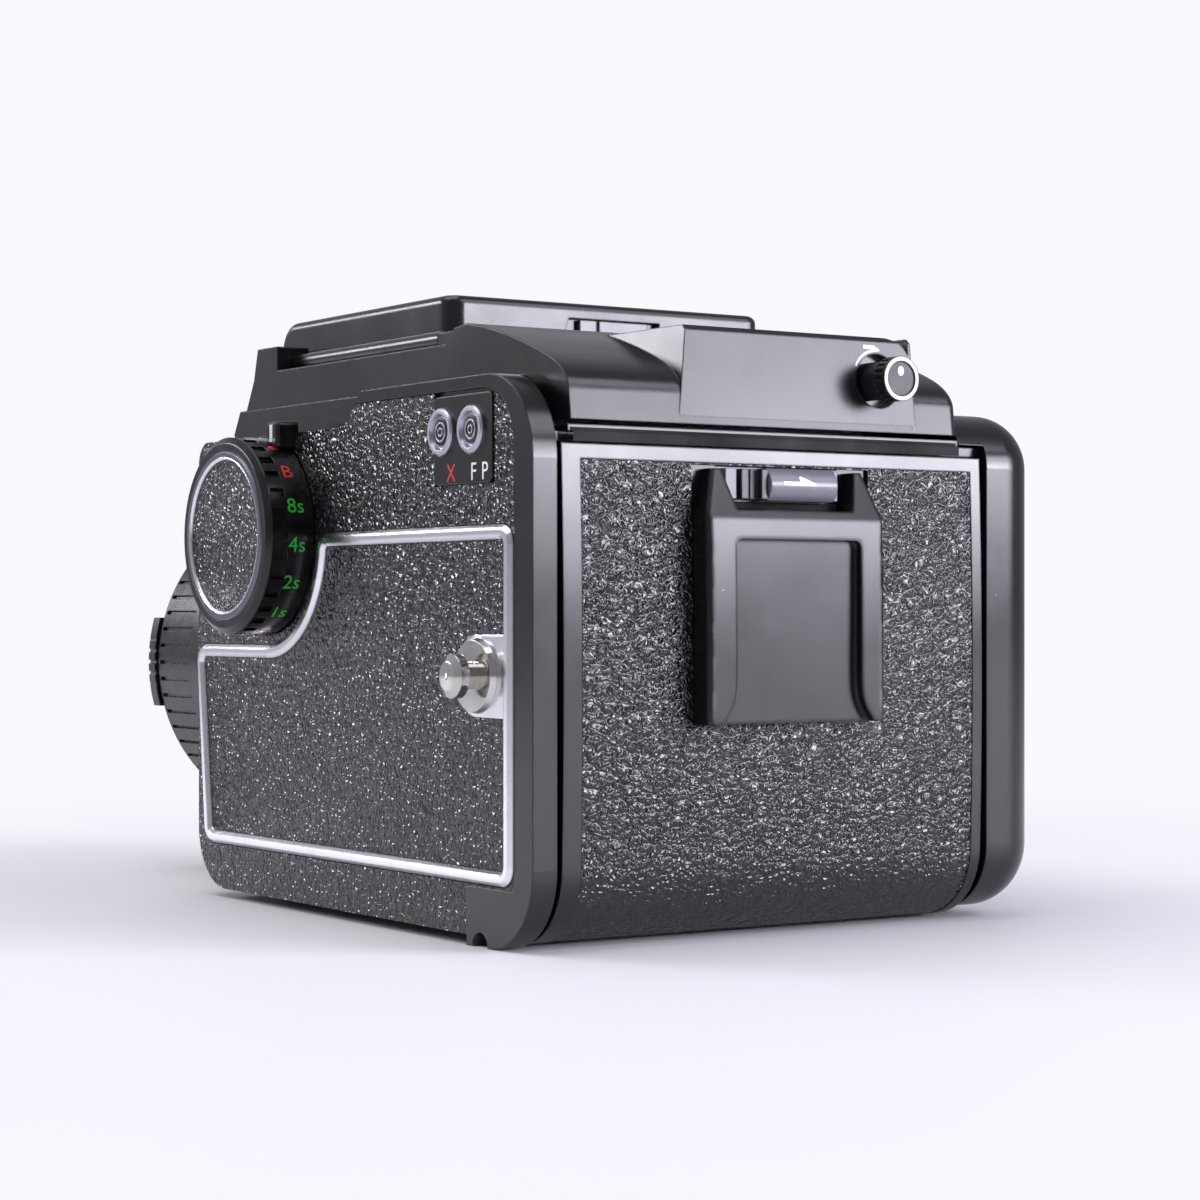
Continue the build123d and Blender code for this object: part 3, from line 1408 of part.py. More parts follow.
# Film door: a bowed, rounded casting that swings down on its knuckles
door_width = door_left_x - door_right_x
door_floor_y = corner_y + door_corner_radius - door_depth  # inner face
with BuildPart() as back_door:
    door_body = door_section(0, door_depth)
    extrude(door_body.moved(Location((door_right_x, 0, 0))), amount=door_width)
    # recess for the leatherette
    leather_width = door_leather_left_x - door_leather_right_x
    leather_pocket = door_section(0, leather_depth) & leather_limit(0)
    leather_pocket = leather_pocket.moved(Location((door_leather_right_x, 0, 0)))
    extrude(leather_pocket, amount=leather_width, mode=Mode.SUBTRACT)
    # tray on the inner side
    with BuildSketch(rear_plane(door_floor_y)):
        with Locations((0, (chamber_top_z + chamber_floor_z) / 2 + 2)):
            RectangleRounded(2 * chamber_half - 4, chamber_top_z - chamber_floor_z - 10, 2)
    extrude(amount=door_tray_depth, mode=Mode.SUBTRACT)
    # knuckles on both sides of the body's one
    for low_x, high_x in door_knuckles:
        with BuildSketch(Plane.YZ.offset(low_x)):
            with Locations((hinge_y, hinge_z)):
                Circle(knuckle_radius)
            with Locations(((hinge_y + door_toe_y) / 2, hinge_z)):
                Rectangle(door_toe_y - hinge_y + 0.4, 1.8 * knuckle_radius)
        extrude(amount=high_x - low_x)
        with BuildSketch(Plane.YZ.offset(low_x)):
            with Locations((hinge_y, hinge_z)):
                Circle(hinge_pin_radius + running)
        extrude(amount=high_x - low_x, mode=Mode.SUBTRACT)
    # slot of the latch
    with BuildSketch(rear_plane(door_floor_y)):
        with Locations((-latch_slider_x + latch_travel / 2, latch_slider_z)):
            Rectangle(latch_tongue_width + latch_travel + 2 * gap, latch_tongue_height + 2 * gap)
    extrude(amount=door_depth + 1, mode=Mode.SUBTRACT)
back_door.part.label = "back_door"
export_step(back_door.part, "parts/back_door.step")


# Pin of the door's hinge
with BuildPart() as door_hinge_pin:
    with BuildSketch(Plane.YZ.offset(door_knuckles[0][0])):
        with Locations((hinge_y, hinge_z)):
            Circle(hinge_pin_radius)
    extrude(amount=door_knuckles[-1][1] - door_knuckles[0][0])
door_hinge_pin.part.label = "door_hinge_pin"
export_step(door_hinge_pin.part, "parts/door_hinge_pin.step")


# Leatherette of the door, cut out round the memo holder
memo_low_x = memo_x - memo_width / 2
with BuildPart() as door_leather:
    leather_layer = door_section(leather_depth - leather_thick, leather_thick) & leather_limit(seat_gap)
    inner_width = leather_width - 2 * seat_gap
    extrude(leather_layer.moved(Location((door_leather_right_x + seat_gap, 0, 0))), amount=inner_width)
    with BuildSketch(rear_plane(back_y + 1)):
        cut_top_z = latch_slider_z + latch_slider_radius + gap
        with Locations((-memo_x, (memo_bottom_z - seat_gap + cut_top_z) / 2)):
            Rectangle(memo_width + 2 * seat_gap, cut_top_z - memo_bottom_z + seat_gap)
    extrude(amount=-door_depth, mode=Mode.SUBTRACT)
door_leather.part.label = "door_leather"
export_step(door_leather.part, "parts/door_leather.step")


# Memo holder: a frame with two horns beside the latch and a shallow well for the film box's end flap
with BuildPart() as memo_holder:
    memo_layer = door_section(-memo_proud, memo_proud + leather_depth)
    extrude(memo_layer.moved(Location((memo_low_x, 0, 0))), amount=memo_width)
    with BuildSketch(rear_plane(door_floor_y)):
        with BuildLine():
            half = memo_width / 2
            window = latch_width / 2
            right = -memo_x + half
            left = -memo_x - half
            foot = Line((left, memo_bottom_z), (right, memo_bottom_z))
            side = Line(foot @ 1, (right, memo_shoulder_z - 1))
            horn = Line(side @ 1, (right - memo_horn_taper, memo_top_z))
            horn_top = Line(horn @ 1, (-memo_x + window + memo_notch_flare, memo_top_z))
            window_right = Line(horn_top @ 1, (-memo_x + window - memo_notch_flare, memo_shoulder_z))
            window_foot = Line(window_right @ 1, (-memo_x - window + memo_notch_flare, memo_shoulder_z))
            window_left = Line(window_foot @ 1, (-memo_x - window - memo_notch_flare, memo_top_z))
            other_top = Line(window_left @ 1, (left + memo_horn_taper, memo_top_z))
            other_horn = Line(other_top @ 1, (left, memo_shoulder_z - 1))
            Line(other_horn @ 1, foot @ 0)
        make_face()
    extrude(amount=memo_proud + door_depth + 2, mode=Mode.INTERSECT)
    # the horns slope back towards the top
    with BuildSketch(Plane.YZ.offset(memo_low_x - 1)):
        with BuildLine():
            Polyline(
                (back_y + memo_proud + 0.1, memo_shoulder_z - 3),
                (back_y + memo_proud + 2, memo_shoulder_z - 3),
                (back_y + memo_proud + 2, memo_top_z + 1),
                (back_y + 0.8, memo_top_z + 1),
                close=True,
            )
        make_face()
    extrude(amount=memo_width + 2, mode=Mode.SUBTRACT)
    front_edges = [edge for edge in memo_holder.edges() if edge.center().Y > back_y + memo_proud / 2]
    side_edges = [edge for edge in front_edges if abs(edge.center().X - memo_x) > memo_width / 2 - 3]
    fillet(side_edges, memo_edge_radius)
    level_edges = memo_holder.edges().filter_by(Axis.X)
    front_edges = [edge for edge in level_edges if edge.center().Y > back_y + memo_proud / 2]
    fillet([edge for edge in front_edges if abs(edge.center().Z - memo_shoulder_z) < 0.01], memo_edge_radius)
    # well, whose sides flare out at the foot
    with BuildSketch(rear_plane(back_y + memo_proud - memo_well_depth)):
        with BuildLine():
            well = memo_window_width / 2
            flare_z = memo_bottom_z + memo_flare
            well_left = Line((-memo_well_x - well, memo_window_top_z), (-memo_well_x - well, flare_z))
            flare_left = Spline(
                well_left @ 1,
                (-memo_well_x - well - 0.9, memo_bottom_z + 0.3 * memo_flare),
                (-memo_well_x - well - 3.0, memo_bottom_z - 0.5),
                tangents=((0, -1), (-0.8, -1)),
            )
            well_foot = Line(flare_left @ 1, (-memo_well_x + well + 3.0, memo_bottom_z - 0.5))
            flare_right = Spline(
                well_foot @ 1,
                (-memo_well_x + well + 0.9, memo_bottom_z + 0.3 * memo_flare),
                (-memo_well_x + well, memo_bottom_z + memo_flare),
                tangents=((-0.8, 1), (0, 1)),
            )
            well_right = Line(flare_right @ 1, (-memo_well_x + well, memo_window_top_z))
            Line(well_right @ 1, well_left @ 0)
        well_face = make_face()
        fillet(well_face.vertices().group_by(Axis.Y)[-1], 1.0)
    extrude(amount=memo_well_depth + 1, mode=Mode.SUBTRACT)
memo_holder.part.label = "memo_holder"
export_step(memo_holder.part, "parts/memo_holder.step")


# Latch slider between the horns, with a grip ledge at its left end and a tongue through the door
with BuildPart() as door_latch_slider:
    slider_left = -latch_slider_x - latch_slider_width / 2
    with BuildSketch(Plane.YZ.offset(latch_slider_x - latch_slider_width / 2)):
        with BuildLine():
            low_z = latch_slider_z - latch_slider_radius
            high_z = latch_slider_z + latch_slider_radius
            slider_back = Line((latch_seat_y, high_z), (latch_seat_y, low_z))
            under = Line(slider_back @ 1, (latch_face_y - 1.2, low_z))
            face_middle = (latch_face_y, latch_slider_z - 0.6)
            face = ThreePointArc(under @ 1, face_middle, (latch_face_y - 1.6, high_z))
            Line(face @ 1, slider_back @ 0)
        make_face()
    extrude(amount=latch_slider_width)
    with BuildSketch(Plane.YZ.offset(latch_slider_x + latch_slider_width / 2)):
        with Locations(((latch_seat_y + latch_face_y - 0.8) / 2, latch_slider_z)):
            Rectangle(latch_face_y - 0.8 - latch_seat_y, 2 * latch_slider_radius - 0.6)
    extrude(amount=latch_thumb)
    with BuildSketch(Plane.YZ.offset(latch_slider_x + latch_slider_width / 2 + 1.2)):
        with Locations((latch_face_y - 0.8, latch_slider_z)):
            Rectangle(2.4, 2 * latch_slider_radius)
    extrude(amount=latch_thumb - 2.4, mode=Mode.SUBTRACT)
    with BuildSketch(rear_plane(latch_seat_y)):
        with Locations((-latch_slider_x, latch_slider_z)):
            Rectangle(latch_tongue_width, latch_tongue_height)
    extrude(amount=-(latch_seat_y - door_floor_y - 0.5))
door_latch_slider.part.label = "door_latch_slider"
export_step(door_latch_slider.part, "parts/door_latch_slider.step")


# Film insert: two side plates joined by a web behind the pressure plate, with the pins of the spools
with BuildPart() as film_insert:
    side_height = insert_high_z - insert_low_z
    for low_x in (-insert_half, insert_half - insert_side):
        with BuildSketch(Plane.YZ.offset(low_x)):
            with Locations(((insert_front_y + insert_rear_y) / 2, (insert_low_z + insert_high_z) / 2)):
                RectangleRounded(insert_rear_y - insert_front_y, side_height, 4)
        extrude(amount=insert_side)
    # web that bends round behind the pressure plate and between the spools
    with BuildSketch(rear_plane(insert_web_y)):
        with Locations((0, lens_height)):
            Rectangle(2 * insert_half - insert_side, insert_web_height)
    extrude(amount=insert_web)
    for z in (lens_height - insert_web_height / 2, lens_height + insert_web_height / 2 - insert_web):
        with BuildSketch(Plane.XY.offset(z)):
            with Locations((0, (insert_web_y + pressure_rear_y) / 2)):
                Rectangle(2 * insert_half - insert_side, insert_web_y - pressure_rear_y)
        extrude(amount=insert_web)
    for z in (spool_low_z, spool_high_z):
        for side in (-1, 1):
            pin_plane = Plane.YZ.offset(side * (insert_half - insert_side / 2))
            with BuildSketch(pin_plane):
                with Locations((spool_y, z)):
                    Circle(spool_pin_radius)
            extrude(amount=-side * (spool_pin_reach + insert_side / 2))
film_insert.part.label = "film_insert"
export_step(film_insert.part, "parts/film_insert.step")


# Pressure plate that holds the film flat on the gate's rails
with BuildPart() as pressure_plate:
    with BuildSketch(rear_plane(pressure_plate_y)):
        with Locations((0, lens_height)):
            RectangleRounded(2 * pressure_half_width, 2 * pressure_half_height, 2)
    extrude(amount=pressure_plate_thick)
    with BuildSketch(rear_plane(pressure_plate_y + pressure_plate_thick)):
        with Locations((0, lens_height)):
            with GridLocations(30, 30, 2, 2):
                Circle(3)
    extrude(amount=insert_web_y - pressure_plate_y - pressure_plate_thick)
pressure_plate.part.label = "pressure_plate"
export_step(pressure_plate.part, "parts/pressure_plate.step")


def film_spool(z):
    """Roll film spool: two flanges on a core that is bored and slotted for the spool pins."""
    with BuildPart() as spool:
        revolve(
            turned_section(
                [
                    (-spool_half, spool_pin_radius + running),
                    (-spool_half, spool_flange_radius),
                    (-spool_half + spool_flange, spool_flange_radius),
                    (-spool_half + spool_flange, spool_core_radius),
                    (spool_half - spool_flange, spool_core_radius),
                    (spool_half - spool_flange, spool_flange_radius),
                    (spool_half, spool_flange_radius),
                    (spool_half, spool_pin_radius + running),
                ],
                side_half_plane(spool_y, z),
            ),
            axis=side_axis(spool_y, z),
        )
        with BuildSketch(Plane.XZ.offset(-spool_y - spool_core_radius)):
            with Locations((0, z)):
                Rectangle(2 * spool_half - 12, spool_keyway)
        extrude(amount=2 * spool_core_radius, mode=Mode.SUBTRACT)
    return spool


supply_spool = film_spool(spool_low_z)
supply_spool.part.label = "supply_spool"
export_step(supply_spool.part, "parts/supply_spool.step")

takeup_spool = film_spool(spool_high_z)
takeup_spool.part.label = "takeup_spool"
export_step(takeup_spool.part, "parts/takeup_spool.step")


# Rear face of the block, which leans forwards a little from the seam up
block_lean = (back_y - block_rear_y) / (block_top_z - finder_seam_z)
shoulder_low_y = back_y - block_lean * (shoulder_low_z - finder_seam_z) - seat_gap

# Waist-level finder housing: a sloping shoulder with a raised block, side walls, and the well of the hood
with BuildPart() as finder_housing:
    with BuildSketch(Plane.YZ.offset(finder_right_x)):
        with BuildLine():
            foot = Line((finder_front_y, finder_base_z), (finder_step_y, finder_base_z))
            foot_step = Line(foot @ 1, (finder_step_y, finder_seam_z))
            seam = Line(foot_step @ 1, (back_y, finder_seam_z))
            upright = Line(seam @ 1, (shoulder_low_y, shoulder_low_z))
            bend = Bezier(
                upright @ 1,
                (shoulder_low_y - 0.2, shoulder_low_z + 2.9),
                (shoulder_bend_y + 3.8, shoulder_bend_z - 1.5),
                (shoulder_bend_y, shoulder_bend_z),
            )
            slope = Bezier(
                bend @ 1,
                (shoulder_mid_y, shoulder_mid_z),
                (shoulder_high_y, shoulder_high_z),
                (crest_y, crest_z),
            )
            crest_top = Line(slope @ 1, (crest_y - crest_length, crest_z - crest_fall))
            crest = Line(crest_top @ 1, (crest_y - crest_length - crest_foot, finder_wall_top_z))
            wall_top = Line(crest @ 1, (post_rear_y, finder_wall_top_z))
            post_rear = Line(wall_top @ 1, (post_rear_y, post_top_z))
            post_top = Line(post_rear @ 1, (post_front_y, post_top_z))
            Polyline(
                post_top @ 1,
                (post_front_y - post_slope, post_knee_z),
                (finder_front_y, finder_flange_top_z),
                foot @ 0,
            )
        make_face()
    extrude(amount=finder_left_x - finder_right_x)
    # right end of the shoulder is rounded over
    end_face = finder_housing.faces().sort_by(Axis.X)[0]
    fillet(end_face.edges().filter_by(GeomType.BEZIER), shoulder_corner)
    # lower flange on the left side
    with BuildSketch(Plane.YZ.offset(finder_left_x)):
        with BuildLine():
            Polyline(
                (finder_front_y, finder_base_z),
                (finder_step_y, finder_base_z),
                (finder_step_y, finder_flange_top_z),
                (finder_front_y, finder_flange_top_z),
                (finder_front_y - finder_flange_lip, finder_flange_top_z - finder_flange_toe),
                close=True,
            )
        make_face()
    extrude(amount=finder_flange_x - finder_left_x)
    # right wall in front of the shoulder, above the winding cover
    with BuildSketch(Plane.YZ.offset(finder_right_x)):
        with BuildLine():
            Polyline(
                (post_front_y - post_slope - 1, finder_side_z),
                (crest_y - crest_length - crest_foot, finder_side_z),
                (crest_y - crest_length - crest_foot, finder_wall_top_z),
                (post_rear_y, finder_wall_top_z),
                (post_rear_y, post_top_z),
                (post_front_y, post_top_z),
                (post_front_y - post_slope, post_knee_z),
                close=True,
            )
        make_face()
    extrude(amount=-finder_side_reach)
    # raised block at the back, with one rounded corner
    with BuildSketch(Plane.YZ.offset(block_right_x)) as block_side:
        with BuildLine():
            Polyline(
                (crest_y, finder_seam_z),
                (back_y, finder_seam_z),
                (block_rear_y + block_lean * block_edge, block_top_z - block_edge),
                (block_rear_y - block_edge, block_top_z),
                (crest_y, block_top_z),
                close=True,
            )
        make_face()
    block_layer = extrude(block_side.sketch, amount=block_left_low_x - block_right_x, mode=Mode.PRIVATE)
    with BuildSketch(rear_plane(crest_y)) as block_rear:
        with BuildLine():
            block_foot = Line((-block_left_low_x, block_foot_z), (-block_right_x, block_foot_z))
            block_end = Line(block_foot @ 1, (-block_right_x, block_top_z - block_corner))
            block_arc = RadiusArc(block_end @ 1, (-block_right_x - block_corner, block_top_z), -block_corner)
            block_top = Line(block_arc @ 1, (-block_left_x, block_top_z))
            Line(block_top @ 1, block_foot @ 0)
        make_face()
    add(block_layer & extrude(block_rear.sketch, amount=back_y - crest_y, mode=Mode.PRIVATE))
    # thin raised field on top of the block
    with BuildSketch(Plane.XY.offset(block_top_z)):
        with Locations((top_field_x, top_field_y)):
            RectangleRounded(top_field_width, top_field_length, 1)
    extrude(amount=top_field_thick)
    # well over the screen, and the recess that the folded flaps lie in
    with BuildSketch(Plane.XY.offset(finder_base_z)):
        with Locations((0, (well_front_y + well_rear_y) / 2)):
            Rectangle(2 * well_half, well_rear_y - well_front_y)
    extrude(amount=post_top_z, mode=Mode.SUBTRACT)
    with BuildSketch(Plane.XY.offset(flap_well_z)):
        with Locations((0, (flap_well_front_y + flap_well_rear_y) / 2)):
            Rectangle(2 * flap_well_half, flap_well_rear_y - flap_well_front_y)
    extrude(amount=post_top_z, mode=Mode.SUBTRACT)
    # trough between the posts, where the lid's front skirt swings in as the lid opens
    skirt_swing = sqrt((lid_hinge_y - lid_front_y) ** 2 + (lid_hinge_z - lid_front_z) ** 2) + gap
    with BuildSketch(Plane.YZ.offset(-post_inner_x)):
        with Locations((lid_hinge_y, lid_hinge_z)):
            Circle(skirt_swing)
        with Locations((lid_hinge_y + lid_hinge_z - lid_front_z + gap + skirt_swing, lid_hinge_z)):
            Rectangle(2 * skirt_swing, 3 * skirt_swing, mode=Mode.SUBTRACT)
    extrude(amount=2 * post_inner_x, mode=Mode.SUBTRACT)
    # lugs that carry the pins of the flaps' rolls
    for side in (-1, 1):
        with BuildSketch(Plane.XY.offset(finder_side_z)):
            with Locations((side * flap_hinge_x, (flap_trough_rear_y + crest_y) / 2)):
                Rectangle(2 * (flap_roll_radius + gap), crest_y - flap_trough_rear_y)
        extrude(amount=flap_lug_top_z - finder_side_z)
        with BuildSketch(Plane.XY.offset(flap_well_z)):
            with Locations((side * (rear_flap_half + gap + rear_lug_width / 2), rear_flap_y)):
                Rectangle(rear_lug_width, rear_lug_length)
        extrude(amount=rear_flap_z + 0.8 - flap_well_z)
        with BuildSketch(Plane.YZ.offset(side * rear_flap_half)):
            with Locations((rear_flap_y, rear_flap_z)):
                Circle(rear_flap_pin_radius + running)
        extrude(amount=side * (gap + rear_lug_width), mode=Mode.SUBTRACT)
    # troughs for the rolls of the two side flaps
    for side in (-1, 1):
        with BuildSketch(front_plane(flap_trough_rear_y)):
            with Locations((side * flap_hinge_x, flap_hinge_z)):
                Circle(flap_roll_radius + gap)
        extrude(amount=flap_trough_rear_y - post_rear_y, mode=Mode.SUBTRACT)
        with BuildSketch(front_plane(flap_trough_rear_y + flap_pin_reach)):
            with Locations((side * flap_hinge_x, flap_hinge_z)):
                Circle(flap_pin_radius + running)
        extrude(amount=flap_trough_rear_y - post_rear_y + 2 * flap_pin_reach, mode=Mode.SUBTRACT)
    # bores for the lid's pins and the release knob
    with BuildSketch(Plane.YZ.offset(-post_inner_x - lid_pin_reach)):
        with Locations((lid_hinge_y, lid_hinge_z)):
            Circle(lid_pin_radius + running)
    extrude(amount=2 * (post_inner_x + lid_pin_reach), mode=Mode.SUBTRACT)
    with BuildSketch(rear_plane(back_y + 1)):
        with Locations((-finder_knob_x, finder_knob_z)):
            Circle(finder_knob_well)
    extrude(amount=-finder_knob_well_depth - 2, mode=Mode.SUBTRACT)
    with BuildSketch(rear_plane(back_y - 1)):
        with Locations((-finder_knob_x, finder_knob_z)):
            Circle(finder_knob_stem_radius + running)
    extrude(amount=-(finder_knob_well_depth + finder_knob_stem_length + gap), mode=Mode.SUBTRACT)
finder_housing.part.label = "finder_housing"
export_step(finder_housing.part, "parts/finder_housing.step")


# Knob that releases the finder
knob_axis = Axis((finder_knob_x, 0, finder_knob_z), (0, 1, 0))
knob_half_plane = Plane(origin=(finder_knob_x, 0, finder_knob_z), x_dir=(0, 1, 0), z_dir=(1, 0, 0))
with BuildPart() as finder_knob:
    knob_floor_y = back_y - 1 - finder_knob_well_depth
    knob_face_y = back_y + finder_knob_reach
    revolve(
        turned_section(
            [
                (knob_floor_y - finder_knob_stem_length, 0),
                (knob_floor_y - finder_knob_stem_length, finder_knob_stem_radius),
                (knob_floor_y + gap, finder_knob_stem_radius),
                (knob_floor_y + gap, finder_knob_radius - 0.5),
                (knob_face_y - finder_knob_grip - 0.4, finder_knob_radius - 0.5),
                (knob_face_y - finder_knob_grip, finder_knob_radius),
                (knob_face_y, finder_knob_radius),
                (knob_face_y, finder_knob_radius - finder_knob_rim),
                (knob_face_y - 0.2, finder_knob_radius - finder_knob_rim),
                (knob_face_y - 0.2, 0),
            ],
            knob_half_plane,
        ),
        axis=knob_axis,
    )
    with BuildSketch(rear_plane(knob_face_y - 0.6)):
        with Locations((-finder_knob_x, finder_knob_z)):
            with PolarLocations(finder_knob_radius, finder_knob_flutes):
                Rectangle(finder_knob_flute, finder_knob_flute)
    extrude(amount=-2.0, mode=Mode.SUBTRACT)
finder_knob.part.label = "finder_release_knob"
export_step(finder_knob.part, "parts/finder_release_knob.step")


# Lid of the hood: an inverted tray with rounded edges, hinged at the front between the two posts
lid_middle_y = (lid_rear_y + lid_front_y) / 2
lid_length = lid_rear_y - lid_front_y
with BuildPart() as hood_lid:
    with BuildSketch(Plane.XY.offset(lid_side_z)):
        with Locations((0, lid_middle_y)):
            Rectangle(2 * lid_half, lid_length)
    extrude(amount=lid_top_z - lid_side_z)
    fillet(hood_lid.edges().filter_by(Axis.Z).group_by(Axis.Y)[-1], lid_corner)
    with BuildSketch(Plane.XY.offset(lid_front_z)):
        with Locations((0, lid_front_y + lid_wall / 2)):
            Rectangle(2 * lid_half, lid_wall)
    extrude(amount=lid_side_z - lid_front_z)
    fillet(hood_lid.edges().filter_by(Axis.X).group_by(Axis.Z)[-1].sort_by(Axis.Y)[0], lid_front_radius)
    fillet(hood_lid.faces().sort_by(Axis.Z)[-1].edges().sort_by(Axis.Y)[1:], lid_edge_radius)
    # hollow underside
    with BuildSketch(Plane.XY.offset(lid_side_z)):
        with Locations((0, lid_middle_y + (lid_front_wall - lid_wall) / 2)):
            Rectangle(2 * (lid_half - lid_wall), lid_length - lid_front_wall - lid_wall)
    extrude(amount=lid_top_z - lid_plate - lid_side_z, mode=Mode.SUBTRACT)
    # block with the recess of the catch
    with BuildSketch(Plane.XY.offset(catch_block_z)):
        with Locations((0, lid_rear_y - catch_block_depth / 2 - lid_wall / 2)):
            Rectangle(2 * catch_block_half, catch_block_depth)
    extrude(amount=lid_top_z - lid_plate - catch_block_z)
    with BuildSketch(rear_plane(lid_rear_y)):
        with BuildLine():
            Polyline(
                (-catch_half, lid_side_z - 1),
                (catch_half, lid_side_z - 1),
                (catch_half, catch_top_z),
                (-catch_half + catch_slant, catch_top_z),
                close=True,
            )
        make_face()
    extrude(amount=-catch_depth, mode=Mode.SUBTRACT)
    # ears and hinge pins
    for side in (-1, 1):
        with BuildSketch(Plane.YZ.offset(side * lid_half)):
            with Locations((lid_hinge_y, lid_hinge_z)):
                Circle(lid_ear_radius)
            with Locations((lid_hinge_y, lid_hinge_z + lid_ear_radius)):
                Rectangle(2 * lid_ear_radius, 2 * lid_ear_radius)
        extrude(amount=-side * lid_ear)
        with BuildSketch(Plane.YZ.offset(side * lid_half)):
            with Locations((lid_hinge_y, lid_hinge_z)):
                Circle(lid_pin_radius)
        extrude(amount=side * (post_inner_x + lid_pin_reach - gap - lid_half))
hood_lid.part.label = "hood_lid"
export_step(hood_lid.part, "parts/hood_lid.step")


# Catch of the lid, sliding in its recess
with BuildPart() as hood_catch:
    catch_z = (catch_top_z + lid_side_z) / 2 + catch_rise
    with BuildSketch(rear_plane(lid_rear_y - catch_depth)):
        with Locations((-(catch_low_x + catch_high_x) / 2, catch_z)):
            Rectangle(catch_high_x - catch_low_x, catch_height)
    extrude(amount=catch_depth - gap)
    with BuildSketch(rear_plane(lid_rear_y - gap - 0.5)):
        with Locations((-(catch_low_x + catch_high_x) / 2 - catch_groove_x, catch_z)):
            Rectangle(catch_groove, catch_height)
    extrude(amount=1, mode=Mode.SUBTRACT)
hood_catch.part.label = "hood_catch"
export_step(hood_catch.part, "parts/hood_catch.step")


# Magnifier under the lid: a ring on two legs, and its lens
with BuildPart() as magnifier_frame:
    magnifier_top_z = lid_top_z - lid_plate - magnifier_drop
    with BuildSketch(Plane.XY.offset(magnifier_top_z)):
        with Locations((0, magnifier_y)):
            Circle(magnifier_radius)
            Circle(magnifier_radius - magnifier_frame_width, mode=Mode.SUBTRACT)
    extrude(amount=-magnifier_thick)
    for side in (-1, 1):
        with BuildSketch(Plane.XY.offset(magnifier_top_z - magnifier_thick)):
            with Locations((side * (magnifier_radius + magnifier_leg / 2 - 0.5), magnifier_y)):
                Rectangle(magnifier_leg, magnifier_leg_width)
        extrude(amount=lid_top_z - lid_plate - magnifier_top_z + magnifier_thick)
magnifier_frame.part.label = "magnifier_frame"
export_step(magnifier_frame.part, "parts/magnifier_frame.step")

with BuildPart() as magnifier_lens:
    with BuildSketch(Plane.XY.offset(magnifier_top_z - 0.2)):
        with Locations((0, magnifier_y)):
            Circle(magnifier_radius - magnifier_frame_width)
    extrude(amount=-magnifier_thick + 0.4)
magnifier_lens.part.label = "magnifier_lens"
export_step(magnifier_lens.part, "parts/magnifier_lens.step")


def side_flap(side):
    """Folding side flap of the hood: a mitred sheet on a round roll with pins at its ends."""
    with BuildPart() as flap:
        roll_front_y = post_rear_y + gap
        roll_rear_y = flap_trough_rear_y - gap
        with BuildSketch(rear_plane(roll_front_y)):
            with Locations((-side * flap_hinge_x, flap_hinge_z)):
                Circle(flap_roll_radius)
        extrude(amount=roll_rear_y - roll_front_y)
        fillet(flap.faces().sort_by(Axis.Y)[-1].edges(), 0.8)
        with BuildSketch(rear_plane(roll_front_y - flap_pin_reach)):
            with Locations((-side * flap_hinge_x, flap_hinge_z)):
                Circle(flap_pin_radius)
        extrude(amount=roll_rear_y - roll_front_y + 2 * flap_pin_reach)
        with BuildSketch(Plane.XY.offset(flap_hinge_z - flap_thick / 2)):
            tip_x = side * (flap_hinge_x - flap_width)
            root_x = side * flap_hinge_x
            front_y = lid_hinge_y + flap_front_margin
            front_turn_x = side * (flap_hinge_x - flap_front_margin / flap_mitre_rate)
            rear_y = rear_flap_y - flap_rear_margin
            rear_turn_x = side * (flap_hinge_x - flap_rear_margin + flap_mitre)
            with BuildLine():
                Polyline(
                    (root_x, front_y),
                    (front_turn_x, front_y),
                    (tip_x, lid_hinge_y + flap_mitre_rate * flap_width),
                    (tip_x, rear_flap_y - flap_mitre - flap_width),
                    (rear_turn_x, rear_y),
                    (root_x, rear_y),
                    close=True,
                )
            make_face()
        extrude(amount=flap_thick)
    return flap


hood_left_flap = side_flap(1)
hood_left_flap.part.label = "hood_left_flap"
export_step(hood_left_flap.part, "parts/hood_left_flap.step")

hood_right_flap = side_flap(-1)
hood_right_flap.part.label = "hood_right_flap"
export_step(hood_right_flap.part, "parts/hood_right_flap.step")


# Rear flap of the hood, lying on top of the two side flaps
with BuildPart() as hood_rear_flap:
    with BuildSketch(Plane.YZ.offset(-rear_flap_half)):
        with Locations((rear_flap_y, rear_flap_z)):
            Circle(rear_flap_roll_radius)
    extrude(amount=2 * rear_flap_half)
    with BuildSketch(Plane.YZ.offset(-rear_flap_half - rear_flap_pin_reach)):
        with Locations((rear_flap_y, rear_flap_z)):
            Circle(rear_flap_pin_radius)
    extrude(amount=2 * (rear_flap_half + rear_flap_pin_reach))
    with BuildSketch(Plane.XY.offset(rear_flap_z + rear_flap_rise)):
        with BuildLine():
            Polyline(
                (-rear_flap_half, rear_flap_y),
                (-rear_flap_tip_half, rear_flap_y - rear_flap_length),
                (rear_flap_tip_half, rear_flap_y - rear_flap_length),
                (rear_flap_half, rear_flap_y),
                close=True,
            )
        make_face()
    extrude(amount=rear_flap_thick)
hood_rear_flap.part.label = "hood_rear_flap"
export_step(hood_rear_flap.part, "parts/hood_rear_flap.step")




